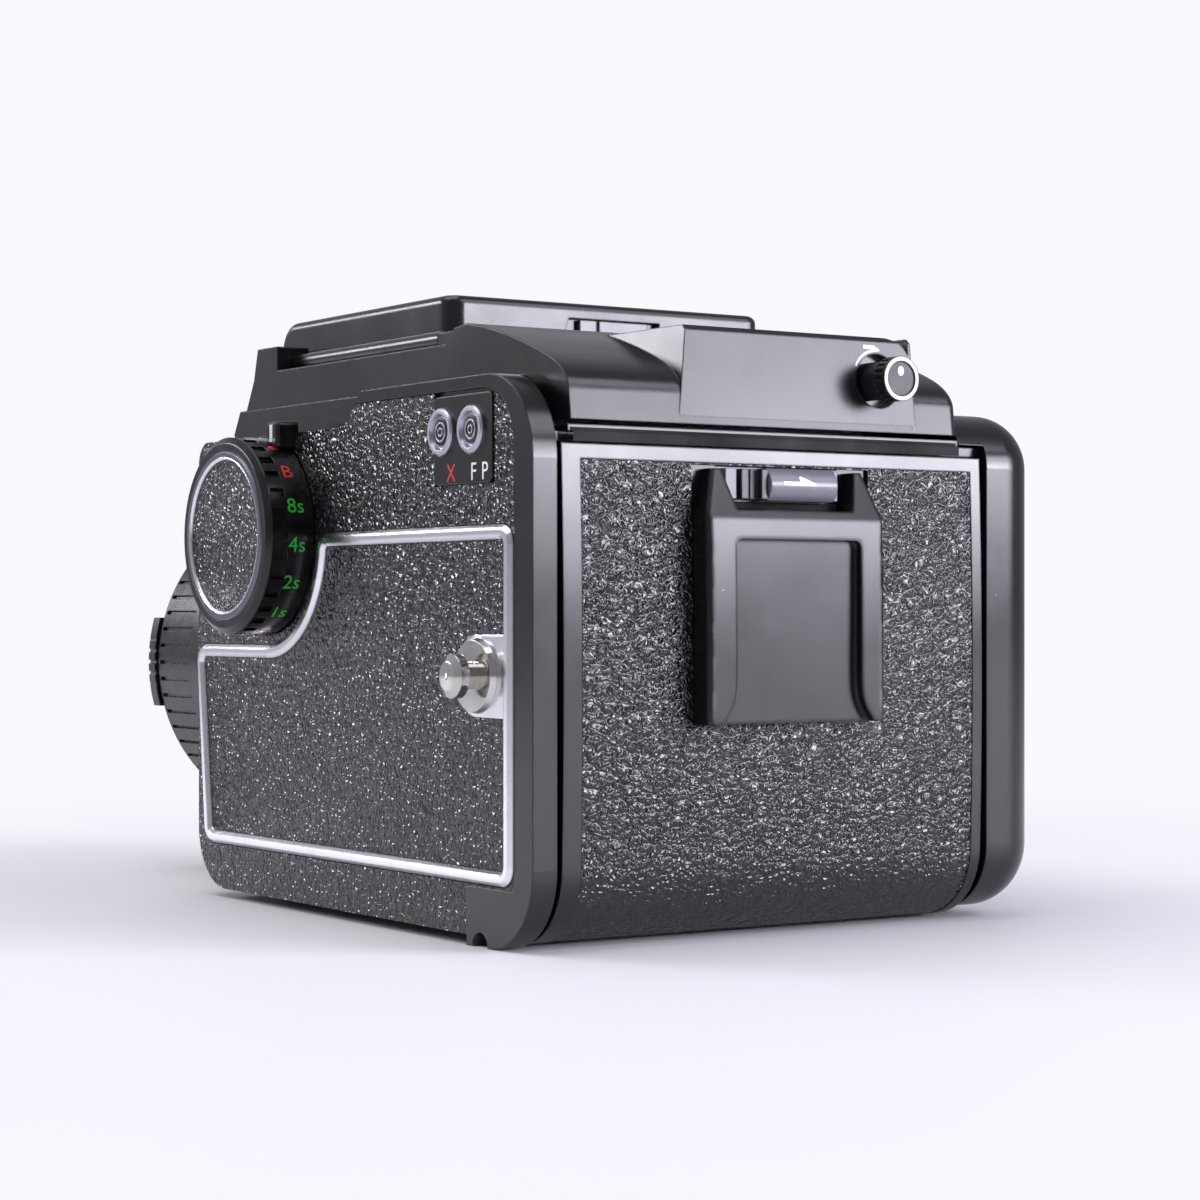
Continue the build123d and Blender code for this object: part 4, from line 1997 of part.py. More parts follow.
# Lens barrel: bayonet tube with three tabs, flange, and the tube that the rings turn on
with BuildPart() as lens_barrel:
    revolve(
        turned_section(
            [
                (bayonet_rear_y, barrel_rear_bore),
                (bayonet_rear_y, bayonet_radius),
                (mount_front_y, bayonet_radius),
                (mount_front_y, lens_flange_radius - 0.4),
                (mount_front_y - 0.4, lens_flange_radius),
                (mount_front_y - lens_flange_thick, lens_flange_radius),
                (mount_front_y - lens_flange_thick, barrel_radius),
                (aperture_front_y - gap, barrel_radius),
                (aperture_front_y - gap, scale_radius),
                (scale_front_y, scale_radius),
                (scale_front_y, barrel_radius),
                (barrel_front_y, barrel_radius),
                (barrel_front_y, barrel_bore_radius),
                (barrel_bore_rear_y, barrel_bore_radius),
                (barrel_bore_rear_y, front_glass_radius),
                (septum_front_y, front_glass_radius),
                (septum_front_y, rear_glass_radius),
                (septum_rear_y, rear_glass_radius),
                (septum_rear_y, barrel_rear_bore),
            ]
        ),
        axis=lens_axis,
    )
    bayonet_tabs = bayonet_sectors(bayonet_radius - 0.5, mount_inner_radius - seat_gap)
    extrude(bayonet_tabs.moved(Location((0, bayonet_rear_y, 0))), amount=bayonet_rear_y - flange_y - gap)
lens_barrel.part.label = "lens_barrel"
export_step(lens_barrel.part, "parts/lens_barrel.step")


def grip_ring(rear_y, front_y, radius, ribs, rib_depth, groove_share, rib_rear_y, rib_front_y):
    """Turning ring of the lens, with straight grooves cut between its grip ribs."""
    bore = barrel_radius + running
    with BuildPart() as ring:
        revolve(
            turned_section(
                [
                    (rear_y, bore),
                    (rear_y, radius - 0.4),
                    (rear_y - 0.4, radius),
                    (front_y + 0.4, radius),
                    (front_y, radius - 0.4),
                    (front_y, bore),
                ]
            ),
            axis=lens_axis,
        )
        with BuildSketch(front_plane(rib_rear_y)):
            with Locations((0, lens_height)):
                with PolarLocations(radius, ribs):
                    Rectangle(2 * rib_depth, groove_share * 2 * pi * radius / ribs)
        extrude(amount=rib_rear_y - rib_front_y, mode=Mode.SUBTRACT)
    return ring


# Aperture ring
aperture_ring = grip_ring(
    aperture_rear_y,
    aperture_front_y,
    aperture_radius,
    aperture_ribs,
    aperture_rib_depth,
    aperture_groove_share,
    aperture_rear_y - 4.4,
    aperture_front_y + 0.8,
)
aperture_ring.part.label = "aperture_ring"
export_step(aperture_ring.part, "parts/aperture_ring.step")


# Focusing ring
focus_ring = grip_ring(
    focus_rear_y,
    focus_front_y,
    focus_radius,
    focus_ribs,
    focus_rib_depth,
    focus_groove_share,
    focus_rear_y - focus_collar,
    focus_front_y + 1.2,
)
focus_ring.part.label = "focus_ring"
export_step(focus_ring.part, "parts/focus_ring.step")


# Front cell, which moves out of the barrel when the lens is focused
with BuildPart() as lens_front:
    cell_radius = barrel_bore_radius - running
    cup_floor_y = front_rim_y + cap_plug_length
    revolve(
        turned_section(
            [
                (front_tube_rear_y, cell_radius - front_tube_wall),
                (front_tube_rear_y, cell_radius),
                (cup_floor_y + 1.6, cell_radius),
                (cup_floor_y + 1.6, barrel_radius - gap),
                (focus_front_y - gap, barrel_radius - gap),
                (focus_front_y - gap, front_rim_radius),
                (front_rim_y + 0.4, front_rim_radius),
                (front_rim_y, front_rim_radius - 0.4),
                (front_rim_y, front_bore_radius),
                (cup_floor_y, front_bore_radius),
                (cup_floor_y, front_bore_radius - 1.0),
                (front_glass_y - front_glass_sagitta, front_glass_radius + 0.4),
                (front_glass_y - front_glass_sagitta, front_glass_radius),
                (front_glass_y + front_glass_thick, front_glass_radius),
                (front_glass_y + front_glass_thick, front_glass_radius - 1.5),
                (front_glass_y + front_glass_thick + 1.5, front_glass_radius - 1.5),
                (front_glass_y + front_glass_thick + 1.5, cell_radius - front_tube_wall),
            ]
        ),
        axis=lens_axis,
    )
lens_front.part.label = "lens_front"
export_step(lens_front.part, "parts/lens_front.step")


def half_height_bulge(radius, bulge):
    """How far a spherical face of the given bulge stands out at half the element's radius."""
    sphere = (radius ** 2 + bulge ** 2) / (2 * abs(bulge))
    drop = sphere - sqrt(sphere ** 2 - radius ** 2 / 4)
    return bulge - drop if bulge > 0 else bulge + drop


def lens_element(edge_front_y, edge_rear_y, radius, front_bulge, rear_bulge):
    """Turned glass element with two spherical faces."""
    with BuildPart() as element:
        with BuildSketch(lens_half_plane):
            with BuildLine():
                front_mid_y = edge_front_y - half_height_bulge(radius, front_bulge)
                rear_mid_y = edge_rear_y + half_height_bulge(radius, rear_bulge)
                front_pole = (edge_front_y - front_bulge, 0)
                rear_pole = (edge_rear_y + rear_bulge, 0)
                front_face = ThreePointArc(front_pole, (front_mid_y, radius / 2), (edge_front_y, radius))
                edge = Line(front_face @ 1, (edge_rear_y, radius))
                rear_face = ThreePointArc(edge @ 1, (rear_mid_y, radius / 2), rear_pole)
                Line(rear_face @ 1, front_face @ 0)
            make_face()
        revolve(axis=lens_axis)
    return element


# Front and rear elements of the lens
front_glass = lens_element(
    front_glass_y, front_glass_y + front_glass_thick, front_glass_radius, front_glass_sagitta, -1.2
)
front_glass.part.label = "front_glass"
export_step(front_glass.part, "parts/front_glass.step")

rear_glass = lens_element(
    rear_glass_front_y, rear_glass_front_y + rear_glass_thick, rear_glass_radius, 0.8, 1.6
)
rear_glass.part.label = "rear_glass"
export_step(rear_glass.part, "parts/rear_glass.step")


# Lens cap: a disc with a plug rim, and notches for the two sprung tabs
cap_rear_y = cap_front_y + cap_thick
tab_inner_x = cap_tab_radius - cap_tab_length
with BuildPart() as lens_cap:
    revolve(
        turned_section(
            [
                (cap_rear_y + cap_plug_length - gap, cap_plug_radius - 1.8),
                (cap_rear_y + cap_plug_length - gap, cap_plug_radius),
                (cap_rear_y, cap_plug_radius),
                (cap_rear_y, cap_radius),
                (cap_front_y + 0.5, cap_radius),
                (cap_front_y, cap_radius - 0.5),
                (cap_front_y, cap_radius - 3.2),
                (cap_front_y + 0.4, cap_radius - 3.6),
                (cap_front_y + 0.4, 0),
                (cap_rear_y + cap_floor, 0),
                (cap_rear_y + cap_floor, cap_plug_radius - 1.8),
            ]
        ),
        axis=lens_axis,
    )
    for side in (-1, 1):
        with BuildSketch(front_plane(cap_rear_y)):
            notch_low_x = tab_inner_x - cap_tab_travel - gap
            with Locations((side * (notch_low_x + cap_radius) / 2, lens_height)):
                Rectangle(cap_radius - notch_low_x + 1, cap_tab_width + 2 * gap)
        extrude(amount=cap_thick, mode=Mode.SUBTRACT)
lens_cap.part.label = "lens_cap"
export_step(lens_cap.part, "parts/lens_cap.step")


def cap_tab(side):
    """Sprung tab of the lens cap: a plate in the notch and a skirt to squeeze."""
    with BuildPart() as tab:
        plate_rear_y = cap_rear_y - gap
        plate_front_y = cap_front_y + gap
        with BuildSketch(front_plane(plate_rear_y)):
            with Locations((side * (tab_inner_x + cap_tab_radius) / 2, lens_height)):
                Rectangle(cap_tab_length, cap_tab_width)
            with Locations((0, lens_height)):
                Circle(cap_tab_radius, mode=Mode.INTERSECT)
        extrude(amount=plate_rear_y - plate_front_y)
        with BuildSketch(front_plane(focus_front_y - gap)):
            with Locations((0, lens_height)):
                Circle(cap_tab_radius)
                Circle(cap_tab_radius - cap_skirt, mode=Mode.SUBTRACT)
            with Locations((side * cap_tab_radius, lens_height)):
                Rectangle(2 * cap_tab_length, cap_tab_width, mode=Mode.INTERSECT)
        extrude(amount=focus_front_y - gap - plate_front_y)
        for step in range(-3, 4):
            with BuildSketch(front_plane(focus_front_y)):
                with Locations((side * cap_tab_radius, lens_height + 2.2 * step)):
                    Circle(0.4)
            extrude(amount=focus_front_y - cap_front_y, mode=Mode.SUBTRACT)
    return tab


cap_tab_left = cap_tab(1)
cap_tab_left.part.label = "cap_tab_left"
export_step(cap_tab_left.part, "parts/cap_tab_left.step")

cap_tab_right = cap_tab(-1)
cap_tab_right.part.label = "cap_tab_right"
export_step(cap_tab_right.part, "parts/cap_tab_right.step")
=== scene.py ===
"""Medium format film camera: looks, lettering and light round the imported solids. Metres, +Z up."""
from math import cos, pi, radians, sin

import bmesh
import bpy
from mathutils import Matrix, Vector
from mathutils.bvhtree import BVHTree


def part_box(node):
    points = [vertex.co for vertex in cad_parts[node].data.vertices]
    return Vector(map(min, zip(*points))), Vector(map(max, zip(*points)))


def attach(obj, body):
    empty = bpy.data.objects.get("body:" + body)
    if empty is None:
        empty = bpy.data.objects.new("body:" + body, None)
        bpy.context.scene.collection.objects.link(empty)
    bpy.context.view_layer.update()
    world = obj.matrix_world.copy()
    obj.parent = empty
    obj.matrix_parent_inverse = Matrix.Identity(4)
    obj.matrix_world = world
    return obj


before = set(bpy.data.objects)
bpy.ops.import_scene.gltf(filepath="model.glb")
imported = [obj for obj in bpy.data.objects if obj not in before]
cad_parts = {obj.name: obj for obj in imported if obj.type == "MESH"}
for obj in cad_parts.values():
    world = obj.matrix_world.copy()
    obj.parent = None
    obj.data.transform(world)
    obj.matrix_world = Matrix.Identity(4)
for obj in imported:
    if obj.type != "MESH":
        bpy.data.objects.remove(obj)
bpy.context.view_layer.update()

MM = 0.001

# The studio. A white paper sweep in a white room. The viewer stands low at the corner between the shutter
# dial's side and the film door, level with the body's middle, as in the photograph.
eye_at = Vector((0.2598, 0.3986, 0.0499))
look_along = Vector((-0.5505, -0.8348, 0))
eye = bpy.data.cameras.new("eye")
eye.lens = 84
eye.sensor_width = 36
eye.shift_y = 0.01  # the horizon lies 12 pixels of 1200 below the middle
eye.clip_start = 0.01
eye.clip_end = 50
eye_object = bpy.data.objects.new("eye", eye)
eye_object.location = eye_at
eye_object.rotation_euler = look_along.to_track_quat("-Z", "Y").to_euler()
bpy.context.scene.collection.objects.link(eye_object)
bpy.context.scene.camera = eye_object
bpy.context.scene.view_settings.view_transform = "Standard"


def linear(hex_colour):
    """An sRGB hex colour as the linear numbers a shader takes."""
    parts = [int(hex_colour[i:i + 2], 16) / 255 for i in (1, 3, 5)]
    return [c / 12.92 if c <= 0.04045 else ((c + 0.055) / 1.055) ** 2.4 for c in parts] + [1]


def add_node(tree, kind, inputs=None, links=None, **settings):
    """One node with its settings, its sockets' values, and links into it from (node, socket)."""
    node = tree.nodes.new(kind)
    for key, value in settings.items():
        setattr(node, key, value)
    for socket, value in (inputs or {}).items():
        node.inputs[socket].default_value = value
    for socket, (source, output) in (links or {}).items():
        tree.links.new(source.outputs[output], node.inputs[socket])
    return node


# Seen directly the room is the backdrop. What it lights and what mirrors it gets less: more from the side
# that the lens points to, less from behind the viewer.
backdrop_colour, room_colour = "#F9F9FE", "#F0F0FA"
lens_way = (0.25, -0.97, 0.0)
dim_cosine, bright_cosine = -0.35, 0.65  # between a direction and lens_way
behind_level, front_level = 0.30, 0.48
room = bpy.data.worlds.new("white_room")
room.use_nodes = True
room.node_tree.nodes.clear()
rays = add_node(room.node_tree, "ShaderNodeLightPath")
seen = add_node(room.node_tree, "ShaderNodeMath", operation="MAXIMUM",
                links={0: (rays, "Is Camera Ray"), 1: (rays, "Is Transmission Ray")})
room_way = add_node(room.node_tree, "ShaderNodeTexCoord")
room_front = add_node(room.node_tree, "ShaderNodeVectorMath", operation="DOT_PRODUCT",
                      inputs={1: lens_way}, links={0: (room_way, "Generated")})
room_level = add_node(room.node_tree, "ShaderNodeMapRange", interpolation_type="SMOOTHSTEP",
                      inputs={"From Min": dim_cosine, "From Max": bright_cosine,
                              "To Min": behind_level, "To Max": front_level},
                      links={"Value": (room_front, "Value")})
room_light = add_node(room.node_tree, "ShaderNodeBackground", inputs={"Color": linear(room_colour)},
                      links={"Strength": (room_level, 0)})
room_seen = add_node(room.node_tree, "ShaderNodeBackground",
                     inputs={"Color": linear(backdrop_colour), "Strength": 1.0})
room_mix = add_node(room.node_tree, "ShaderNodeMixShader",
                    links={0: (seen, 0), 1: (room_light, 0), 2: (room_seen, 0)})
add_node(room.node_tree, "ShaderNodeOutputWorld", links={"Surface": (room_mix, 0)})
bpy.context.scene.world = room


def softbox(name, towards, distance, aim, width, height, watts, colour):
    """A soft rectangular light, at a distance from the point that it looks at."""
    light = bpy.data.lights.new(name, "AREA")
    light.shape = "RECTANGLE"
    light.size = width
    light.size_y = height
    light.energy = watts
    light.color = linear(colour)[:3]
    lamp = bpy.data.objects.new(name, light)
    lamp.location = aim + towards.normalized() * distance
    lamp.rotation_euler = (aim - lamp.location).to_track_quat("-Z", "Y").to_euler()
    bpy.context.scene.collection.objects.link(lamp)


# A large softbox beside the viewer's right shoulder shines on the film door, with a brighter core low in
# it. The high one lays a sheen on the finder, the one overhead lights the paper, and the one past the lens
# draws glints on the dial's side.
middle = Vector((0, 0, 0.06))
softbox("door_softbox", Vector((-0.60, 0.80, 0.20)), 1.1, middle, 0.62, 0.38, 7.2, "#F3F1FF")
softbox("door_softbox_core", Vector((-0.60, 0.80, 0.14)), 1.07, middle, 0.50, 0.11, 2.6, "#F6F4FF")
softbox("high_softbox", Vector((-0.45, 0.75, 0.75)), 1.1, middle, 0.70, 0.45, 3.5, "#F3F1FF")
softbox("top_softbox", Vector((0.25, -0.1, 1)), 0.9, middle, 0.8, 0.8, 4.7, "#FFFFFF")
softbox("side_softbox", Vector((0.55, -0.78, 0.34)), 1.2, middle, 0.50, 0.20, 4.5, "#F8F7FF")


def as_mesh(shape, name):
    """What bmesh holds, as a mesh."""
    mesh = bpy.data.meshes.new(name)
    shape.to_mesh(mesh)
    shape.free()
    return mesh


def new_material(name):
    """An empty material, its node tree, and the node that gives a point's place on the object."""
    material = bpy.data.materials.new(name)
    material.use_nodes = True
    material.node_tree.nodes.clear()
    return material, material.node_tree, add_node(material.node_tree, "ShaderNodeTexCoord")


# The floor. Matt paper lies under the camera. To the eye: near-white, with a soft shadow close to the
# camera, and going over into the backdrop farther off, so that no horizon shows.
floor_radius = 3.0
fade_from, fade_to = 0.09, 0.34  # distances from the camera's middle
sweep = bmesh.new()
bmesh.ops.create_circle(sweep, cap_ends=True, segments=96, radius=floor_radius)
floor = bpy.data.objects.new("floor", as_mesh(sweep, "floor"))
bpy.context.scene.collection.objects.link(floor)
paper, paper_tree, place = new_material("white_paper_sweep")
far = add_node(paper_tree, "ShaderNodeVectorMath", operation="LENGTH",
               links={0: (place, "Object")})
fade = add_node(paper_tree, "ShaderNodeMapRange", interpolation_type="SMOOTHSTEP",
                inputs={"From Min": fade_from, "From Max": fade_to}, links={"Value": (far, "Value")})
paper_rays = add_node(paper_tree, "ShaderNodeLightPath")
paper_seen = add_node(paper_tree, "ShaderNodeMath", operation="MULTIPLY",
                      links={0: (fade, 0), 1: (paper_rays, "Is Camera Ray")})
paper_lit = add_node(paper_tree, "ShaderNodeBsdfPrincipled",
                     inputs={"Base Color": linear("#F1F1F5"), "Roughness": 0.5,
                             "Specular IOR Level": 0.3})
paper_plain = add_node(paper_tree, "ShaderNodeEmission",
                       inputs={"Color": linear(backdrop_colour), "Strength": 1.0})
paper_mix = add_node(paper_tree, "ShaderNodeMixShader",
                     links={0: (paper_seen, 0), 1: (paper_lit, 0), 2: (paper_plain, 0)})
add_node(paper_tree, "ShaderNodeOutputMaterial", links={"Surface": (paper_mix, 0)})
floor.data.materials.append(paper)


# The body casting, with the winding cover, the door's frame and the base plate. Die-cast aluminium,
# screwed together and sprayed with a black enamel that is baked hard.
def enamel(name, colour, roughness, peel, dust, edge_mm=0.35):
    """Sprayed paint: peel is the bump of its orange peel, dust the share of pale specks, and edge_mm the
    radius that the coat gives to a sharp edge."""
    material, tree, where = new_material(name)
    # orange peel about 0.8 mm across
    skin = add_node(tree, "ShaderNodeTexNoise", inputs={"Scale": 1.2 / MM, "Detail": 2},
                    links={"Vector": (where, "Object")})
    edge = add_node(tree, "ShaderNodeBevel", samples=4, inputs={"Radius": edge_mm * MM})
    dents = add_node(tree, "ShaderNodeBump", inputs={"Strength": peel, "Distance": 0.02 * MM},
                     links={"Height": (skin, "Fac"), "Normal": (edge, 0)})
    # handling marks, nearly two centimetres across, change the gloss
    hands = add_node(tree, "ShaderNodeTexNoise",
                     inputs={"Scale": 0.06 / MM, "Detail": 5, "Roughness": 0.6},
                     links={"Vector": (where, "Object")})
    gloss = add_node(tree, "ShaderNodeMapRange", links={"Value": (hands, "Fac")},
                     inputs={"From Min": 0.3, "From Max": 0.75, "To Min": roughness * 0.85,
                             "To Max": roughness * 1.25})
    # dust: in a few cells of 2.4 mm a speck a quarter of a millimetre across
    dust_grey, speck_radius = "#8A8A90", 0.05
    specks = add_node(tree, "ShaderNodeTexVoronoi", inputs={"Scale": 0.42 / MM, "Randomness": 1},
                      links={"Vector": (where, "Object")})
    lit = add_node(tree, "ShaderNodeMath", operation="LESS_THAN", inputs={1: speck_radius},
                   links={0: (specks, "Distance")})
    some = add_node(tree, "ShaderNodeSeparateColor", links={"Color": (specks, "Color")})
    few = add_node(tree, "ShaderNodeMath", operation="LESS_THAN", inputs={1: dust},
                   links={0: (some, "Red")})
    speck = add_node(tree, "ShaderNodeMath", operation="MULTIPLY", links={0: (lit, 0), 1: (few, 0)})
    coat = add_node(tree, "ShaderNodeMix", data_type="RGBA",
                    inputs={"A": linear(colour), "B": linear(dust_grey)},
                    links={"Factor": (speck, 0)})
    shell = add_node(tree, "ShaderNodeBsdfPrincipled", inputs={"IOR": 1.52},
                     links={"Base Color": (coat, "Result"), "Roughness": (gloss, 0),
                            "Normal": (dents, 0)})
    add_node(tree, "ShaderNodeOutputMaterial", links={"Surface": (shell, 0)})
    return material


def dress(material, slot, *names):
    """A finish on CAD nodes whose shape stays."""
    for name in names:
        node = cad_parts[name]
        node.data.materials.clear()
        node.data.materials.append(material)


# To the eye: near-black and glossy: clean, faintly wavy reflections, and a soft line of light along every
# edge
body_enamel = enamel("baked_black_enamel", "#121216", 0.20, 0.10, 0.05)
dress(body_enamel, "body_black", "body_shell", "right_cover", "back_door", "base_plate", "top_rail")


# The leatherette. Vinyl cloth embossed with a coarse morocco grain: long low ridges, creased between, with
# a fine pebble all over whose crowns catch the light. Cut to shape and glued down in shallow recesses.
def leatherette(name, crease, crown, ridge_mm, stretch, turn, ridge_high, pebble_mm, pebble_high, wide,
                roughness):
    """Embossed vinyl: ridges ridge_mm apart, drawn out by stretch and turned, under pebbles pebble_mm
    across. The heights are in millimetres, wide is how far from its crease a pebble goes on rising, and
    the colour goes from that of the crowns down to that of the creases, a painted shade."""
    material, tree, where = new_material(name)
    # the grain wanders: a slow noise of three millimetres bends it
    wander_mm = 1.3
    wander = add_node(tree, "ShaderNodeTexNoise", inputs={"Scale": 0.33 / MM, "Detail": 2},
                      links={"Vector": (where, "Object")})
    shift = add_node(tree, "ShaderNodeVectorMath", operation="SUBTRACT",
                     inputs={1: (0.5, 0.5, 0.5)}, links={0: (wander, "Color")})
    push = add_node(tree, "ShaderNodeVectorMath", operation="SCALE", inputs={"Scale": wander_mm * MM},
                    links={0: (shift, 0)})
    bent = add_node(tree, "ShaderNodeVectorMath", operation="ADD",
                    links={0: (where, "Object"), 1: (push, 0)})
    drawn = add_node(tree, "ShaderNodeMapping", vector_type="TEXTURE",
                     inputs={"Rotation": turn, "Scale": stretch}, links={"Vector": (bent, 0)})
    creases = add_node(tree, "ShaderNodeTexVoronoi", feature="DISTANCE_TO_EDGE",
                       inputs={"Scale": 1 / (ridge_mm * MM)}, links={"Vector": (drawn, 0)})
    ridge = add_node(tree, "ShaderNodeMapRange", interpolation_type="SMOOTHSTEP",
                     inputs={"From Min": 0.0, "From Max": 0.30, "To Max": ridge_high},
                     links={"Value": (creases, "Distance")})
    cells = add_node(tree, "ShaderNodeTexVoronoi", feature="DISTANCE_TO_EDGE",
                     inputs={"Scale": 1 / (pebble_mm * MM)}, links={"Vector": (bent, 0)})
    pebble = add_node(tree, "ShaderNodeMapRange", interpolation_type="SMOOTHSTEP",
                      inputs={"From Min": 0.0, "From Max": wide, "To Max": pebble_high},
                      links={"Value": (cells, "Distance")})
    # a grit of a third of a millimetre over all
    grit_high = 0.03
    grit = add_node(tree, "ShaderNodeTexNoise", inputs={"Scale": 3 / MM, "Detail": 1},
                    links={"Vector": (where, "Object")})
    small = add_node(tree, "ShaderNodeMath", operation="MULTIPLY_ADD", inputs={1: grit_high},
                     links={0: (grit, "Fac"), 2: (pebble, 0)})
    tall = add_node(tree, "ShaderNodeMath", operation="ADD", links={0: (ridge, 0), 1: (small, 0)})
    grain = add_node(tree, "ShaderNodeBump", inputs={"Strength": 1.0, "Distance": MM},
                     links={"Height": (tall, 0)})
    # painted shade: the colour darkens from the crowns down into the creases, which are painted near black
    tone_factor = add_node(tree, "ShaderNodeMapRange", interpolation_type="SMOOTHSTEP",
                    inputs={"From Min": 0.35 * pebble_high, "From Max": pebble_high + ridge_high},
                    links={"Value": (tall, 0)})
    shade = add_node(tree, "ShaderNodeMix", data_type="RGBA",
                     inputs={"A": linear(crease), "B": linear(crown)}, links={"Factor": (tone_factor, 0)})
    vinyl = add_node(tree, "ShaderNodeBsdfPrincipled",
                     inputs={"Roughness": roughness, "IOR": 1.5, "Specular IOR Level": 0.65},
                     links={"Base Color": (shade, "Result"), "Normal": (grain, 0)})
    add_node(tree, "ShaderNodeOutputMaterial", links={"Surface": (vinyl, 0)})
    return material


# To the eye: a dense field of white glints on charcoal: the side and the dial are seen along the light
# the first colour is the painted shade in the creases, the second the vinyl's own colour
side_vinyl = leatherette("side_morocco_vinyl", "#0A0A0C", "#3A3A44", 2.0, (1, 1.3, 1),
                         (radians(25), 0, 0), 0.10, 1.0, 0.17, 0.50, 0.15)
# To the eye: lower, longer lumps on the door, whose glossy backs mirror the softbox between black
# creases, their black a painted shade
# the first colour is the painted shade in the creases, the second the vinyl's own colour
door_vinyl = leatherette("door_morocco_vinyl", "#040405", "#17171C", 2.0, (1.5, 1, 1),
                         (0, radians(14), 0), 0.14, 0.80, 0.12, 0.42, 0.17)
dress(side_vinyl, "leatherette", "left_leather", "front_right_leather", "dial_leather")
dress(door_vinyl, "door_leatherette", "door_leather")


# Bright metal. The trim line is drawn brass, plated with nickel and bright chrome. The lugs, the lens
# mount and the tripod socket are turned steel, with rings from the tool.
def metal(name, colour, tarnish, roughness, scratch, grain_scale=(1, 1, 1), edge_mm=0.2):
    """Bare or plated metal: scratch is how far fine scratches roughen it, edge_mm the radius of its
    polished edges."""
    material, tree, where = new_material(name)
    along = add_node(tree, "ShaderNodeMapping", inputs={"Scale": grain_scale},
                     links={"Vector": (where, "Object")})
    # tool lines 0.4 mm apart, and a stain of a few millimetres that yellows or dulls the colour
    lines = add_node(tree, "ShaderNodeTexNoise",
                     inputs={"Scale": 2.4 / MM, "Detail": 3, "Roughness": 0.6}, links={"Vector": (along, 0)})
    stain = add_node(tree, "ShaderNodeTexNoise", inputs={"Scale": 0.22 / MM, "Detail": 3},
                     links={"Vector": (where, "Object")})
    gloss = add_node(tree, "ShaderNodeMapRange", links={"Value": (lines, "Fac")},
                     inputs={"From Min": 0.35, "From Max": 0.75, "To Min": roughness,
                             "To Max": roughness + scratch})
    tint = add_node(tree, "ShaderNodeMix", data_type="RGBA",
                    inputs={"A": linear(tarnish), "B": linear(colour)}, links={"Factor": (stain, "Fac")})
    edge = add_node(tree, "ShaderNodeBevel", samples=4, inputs={"Radius": edge_mm * MM})
    tool = add_node(tree, "ShaderNodeBump", inputs={"Strength": 0.15, "Distance": 0.004 * MM},
                    links={"Height": (lines, "Fac"), "Normal": (edge, 0)})
    shine = add_node(tree, "ShaderNodeBsdfPrincipled", inputs={"Metallic": 1.0},
                     links={"Base Color": (tint, "Result"), "Roughness": (gloss, 0),
                            "Normal": (tool, 0)})
    add_node(tree, "ShaderNodeOutputMaterial", links={"Surface": (shine, 0)})
    return material


# To the eye: a white line with a dark one inside it, where the rounded edges mirror the room
bright_chrome = metal("bright_chrome_plate", "#F2F2F6", "#E2E2E8", 0.16, 0.08, (1, 1, 1), 0.5)
# To the eye: bright and dark bands round each turned piece, a little warm
turned_steel = metal("turned_steel", "#DAD8D6", "#B4B0AA", 0.09, 0.10, (1, 0.12, 0.12))
dress(bright_chrome, "bright_trim", "left_trim_frame")
dress(turned_steel, "steel", "strap_lugs", "tripod_socket", "lens_mount_ring")

# Sync panel. A black-enamelled plate with two coaxial flash sockets, whose nickel-plated shells are
# screwed in from outside.
# To the eye: smoother and blacker than the casting, so that the letters stand out
panel_black = enamel("sync_panel_black", "#08080A", 0.22, 0.05, 0.0)
# To the eye: soft grey rims without a mirror image
satin_nickel = metal("satin_nickel_plate", "#BDBDC8", "#A9A9B4", 0.30, 0.12)
dress(panel_black, "body_black", "sync_panel")
dress(satin_nickel, "steel", "sync_sockets")


# Printed and filled marks. Enamel, rubbed into engraved lines or printed. Each is a thin slab, half sunk
# in what carries it.
def paint(name, colour):
    """Enamel filled into an engraved line: flat, a little chalky."""
    material, tree, where = new_material(name)
    chalk = add_node(tree, "ShaderNodeTexNoise", inputs={"Scale": 3.5 / MM, "Detail": 2},
                     links={"Vector": (where, "Object")})
    rubbed = add_node(tree, "ShaderNodeMapRange", links={"Value": (chalk, "Fac")},
                      inputs={"From Min": 0.3, "From Max": 0.7, "To Min": 0.55, "To Max": 0.40})
    film = add_node(tree, "ShaderNodeBsdfPrincipled", inputs={"Base Color": linear(colour)},
                    links={"Roughness": (rubbed, 0)})
    add_node(tree, "ShaderNodeOutputMaterial", links={"Surface": (film, 0)})
    return material


# To the eye: flat, clear colours with no mirror image in them, so that they read at any angle
white_fill = paint("white_enamel_fill", "#F4F4F4")
red_fill = paint("red_enamel_fill", "#D8281E")
green_fill = paint("green_enamel_fill", "#2FBF3A")
orange_fill = paint("orange_enamel_fill", "#E88A1E")
mark_thick = 0.08  # millimetres, as all lengths below


def add_piece(name, mesh, material, body):
    """A finished mesh as a piece of the camera, riding on a CAD body."""
    mesh.materials.clear()
    mesh.materials.append(material)
    piece = bpy.data.objects.new(name, mesh)
    bpy.context.scene.collection.objects.link(piece)
    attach(piece, body)


def letters(words, height):
    """Words as a thin slab about the XY plane, in millimetres, centred and height tall."""
    curve = bpy.data.curves.new("letters", "FONT")
    curve.body = words
    curve.extrude = 0.5  # a slab one unit thick, scaled below
    curve.resolution_u = 3
    holder = bpy.data.objects.new("letters", curve)
    bpy.context.scene.collection.objects.link(holder)
    depsgraph = bpy.context.evaluated_depsgraph_get()
    mesh = bpy.data.meshes.new_from_object(holder.evaluated_get(depsgraph))
    bpy.data.objects.remove(holder)
    bpy.data.curves.remove(curve)
    low = Vector([min(v.co[k] for v in mesh.vertices) for k in range(3)])
    high = Vector([max(v.co[k] for v in mesh.vertices) for k in range(3)])
    size = height / (high.y - low.y)
    to_middle = Matrix.Translation(-(low + high) / 2)
    mesh.transform(Matrix.Diagonal((size, size, mark_thick, 1)) @ to_middle)
    return mesh


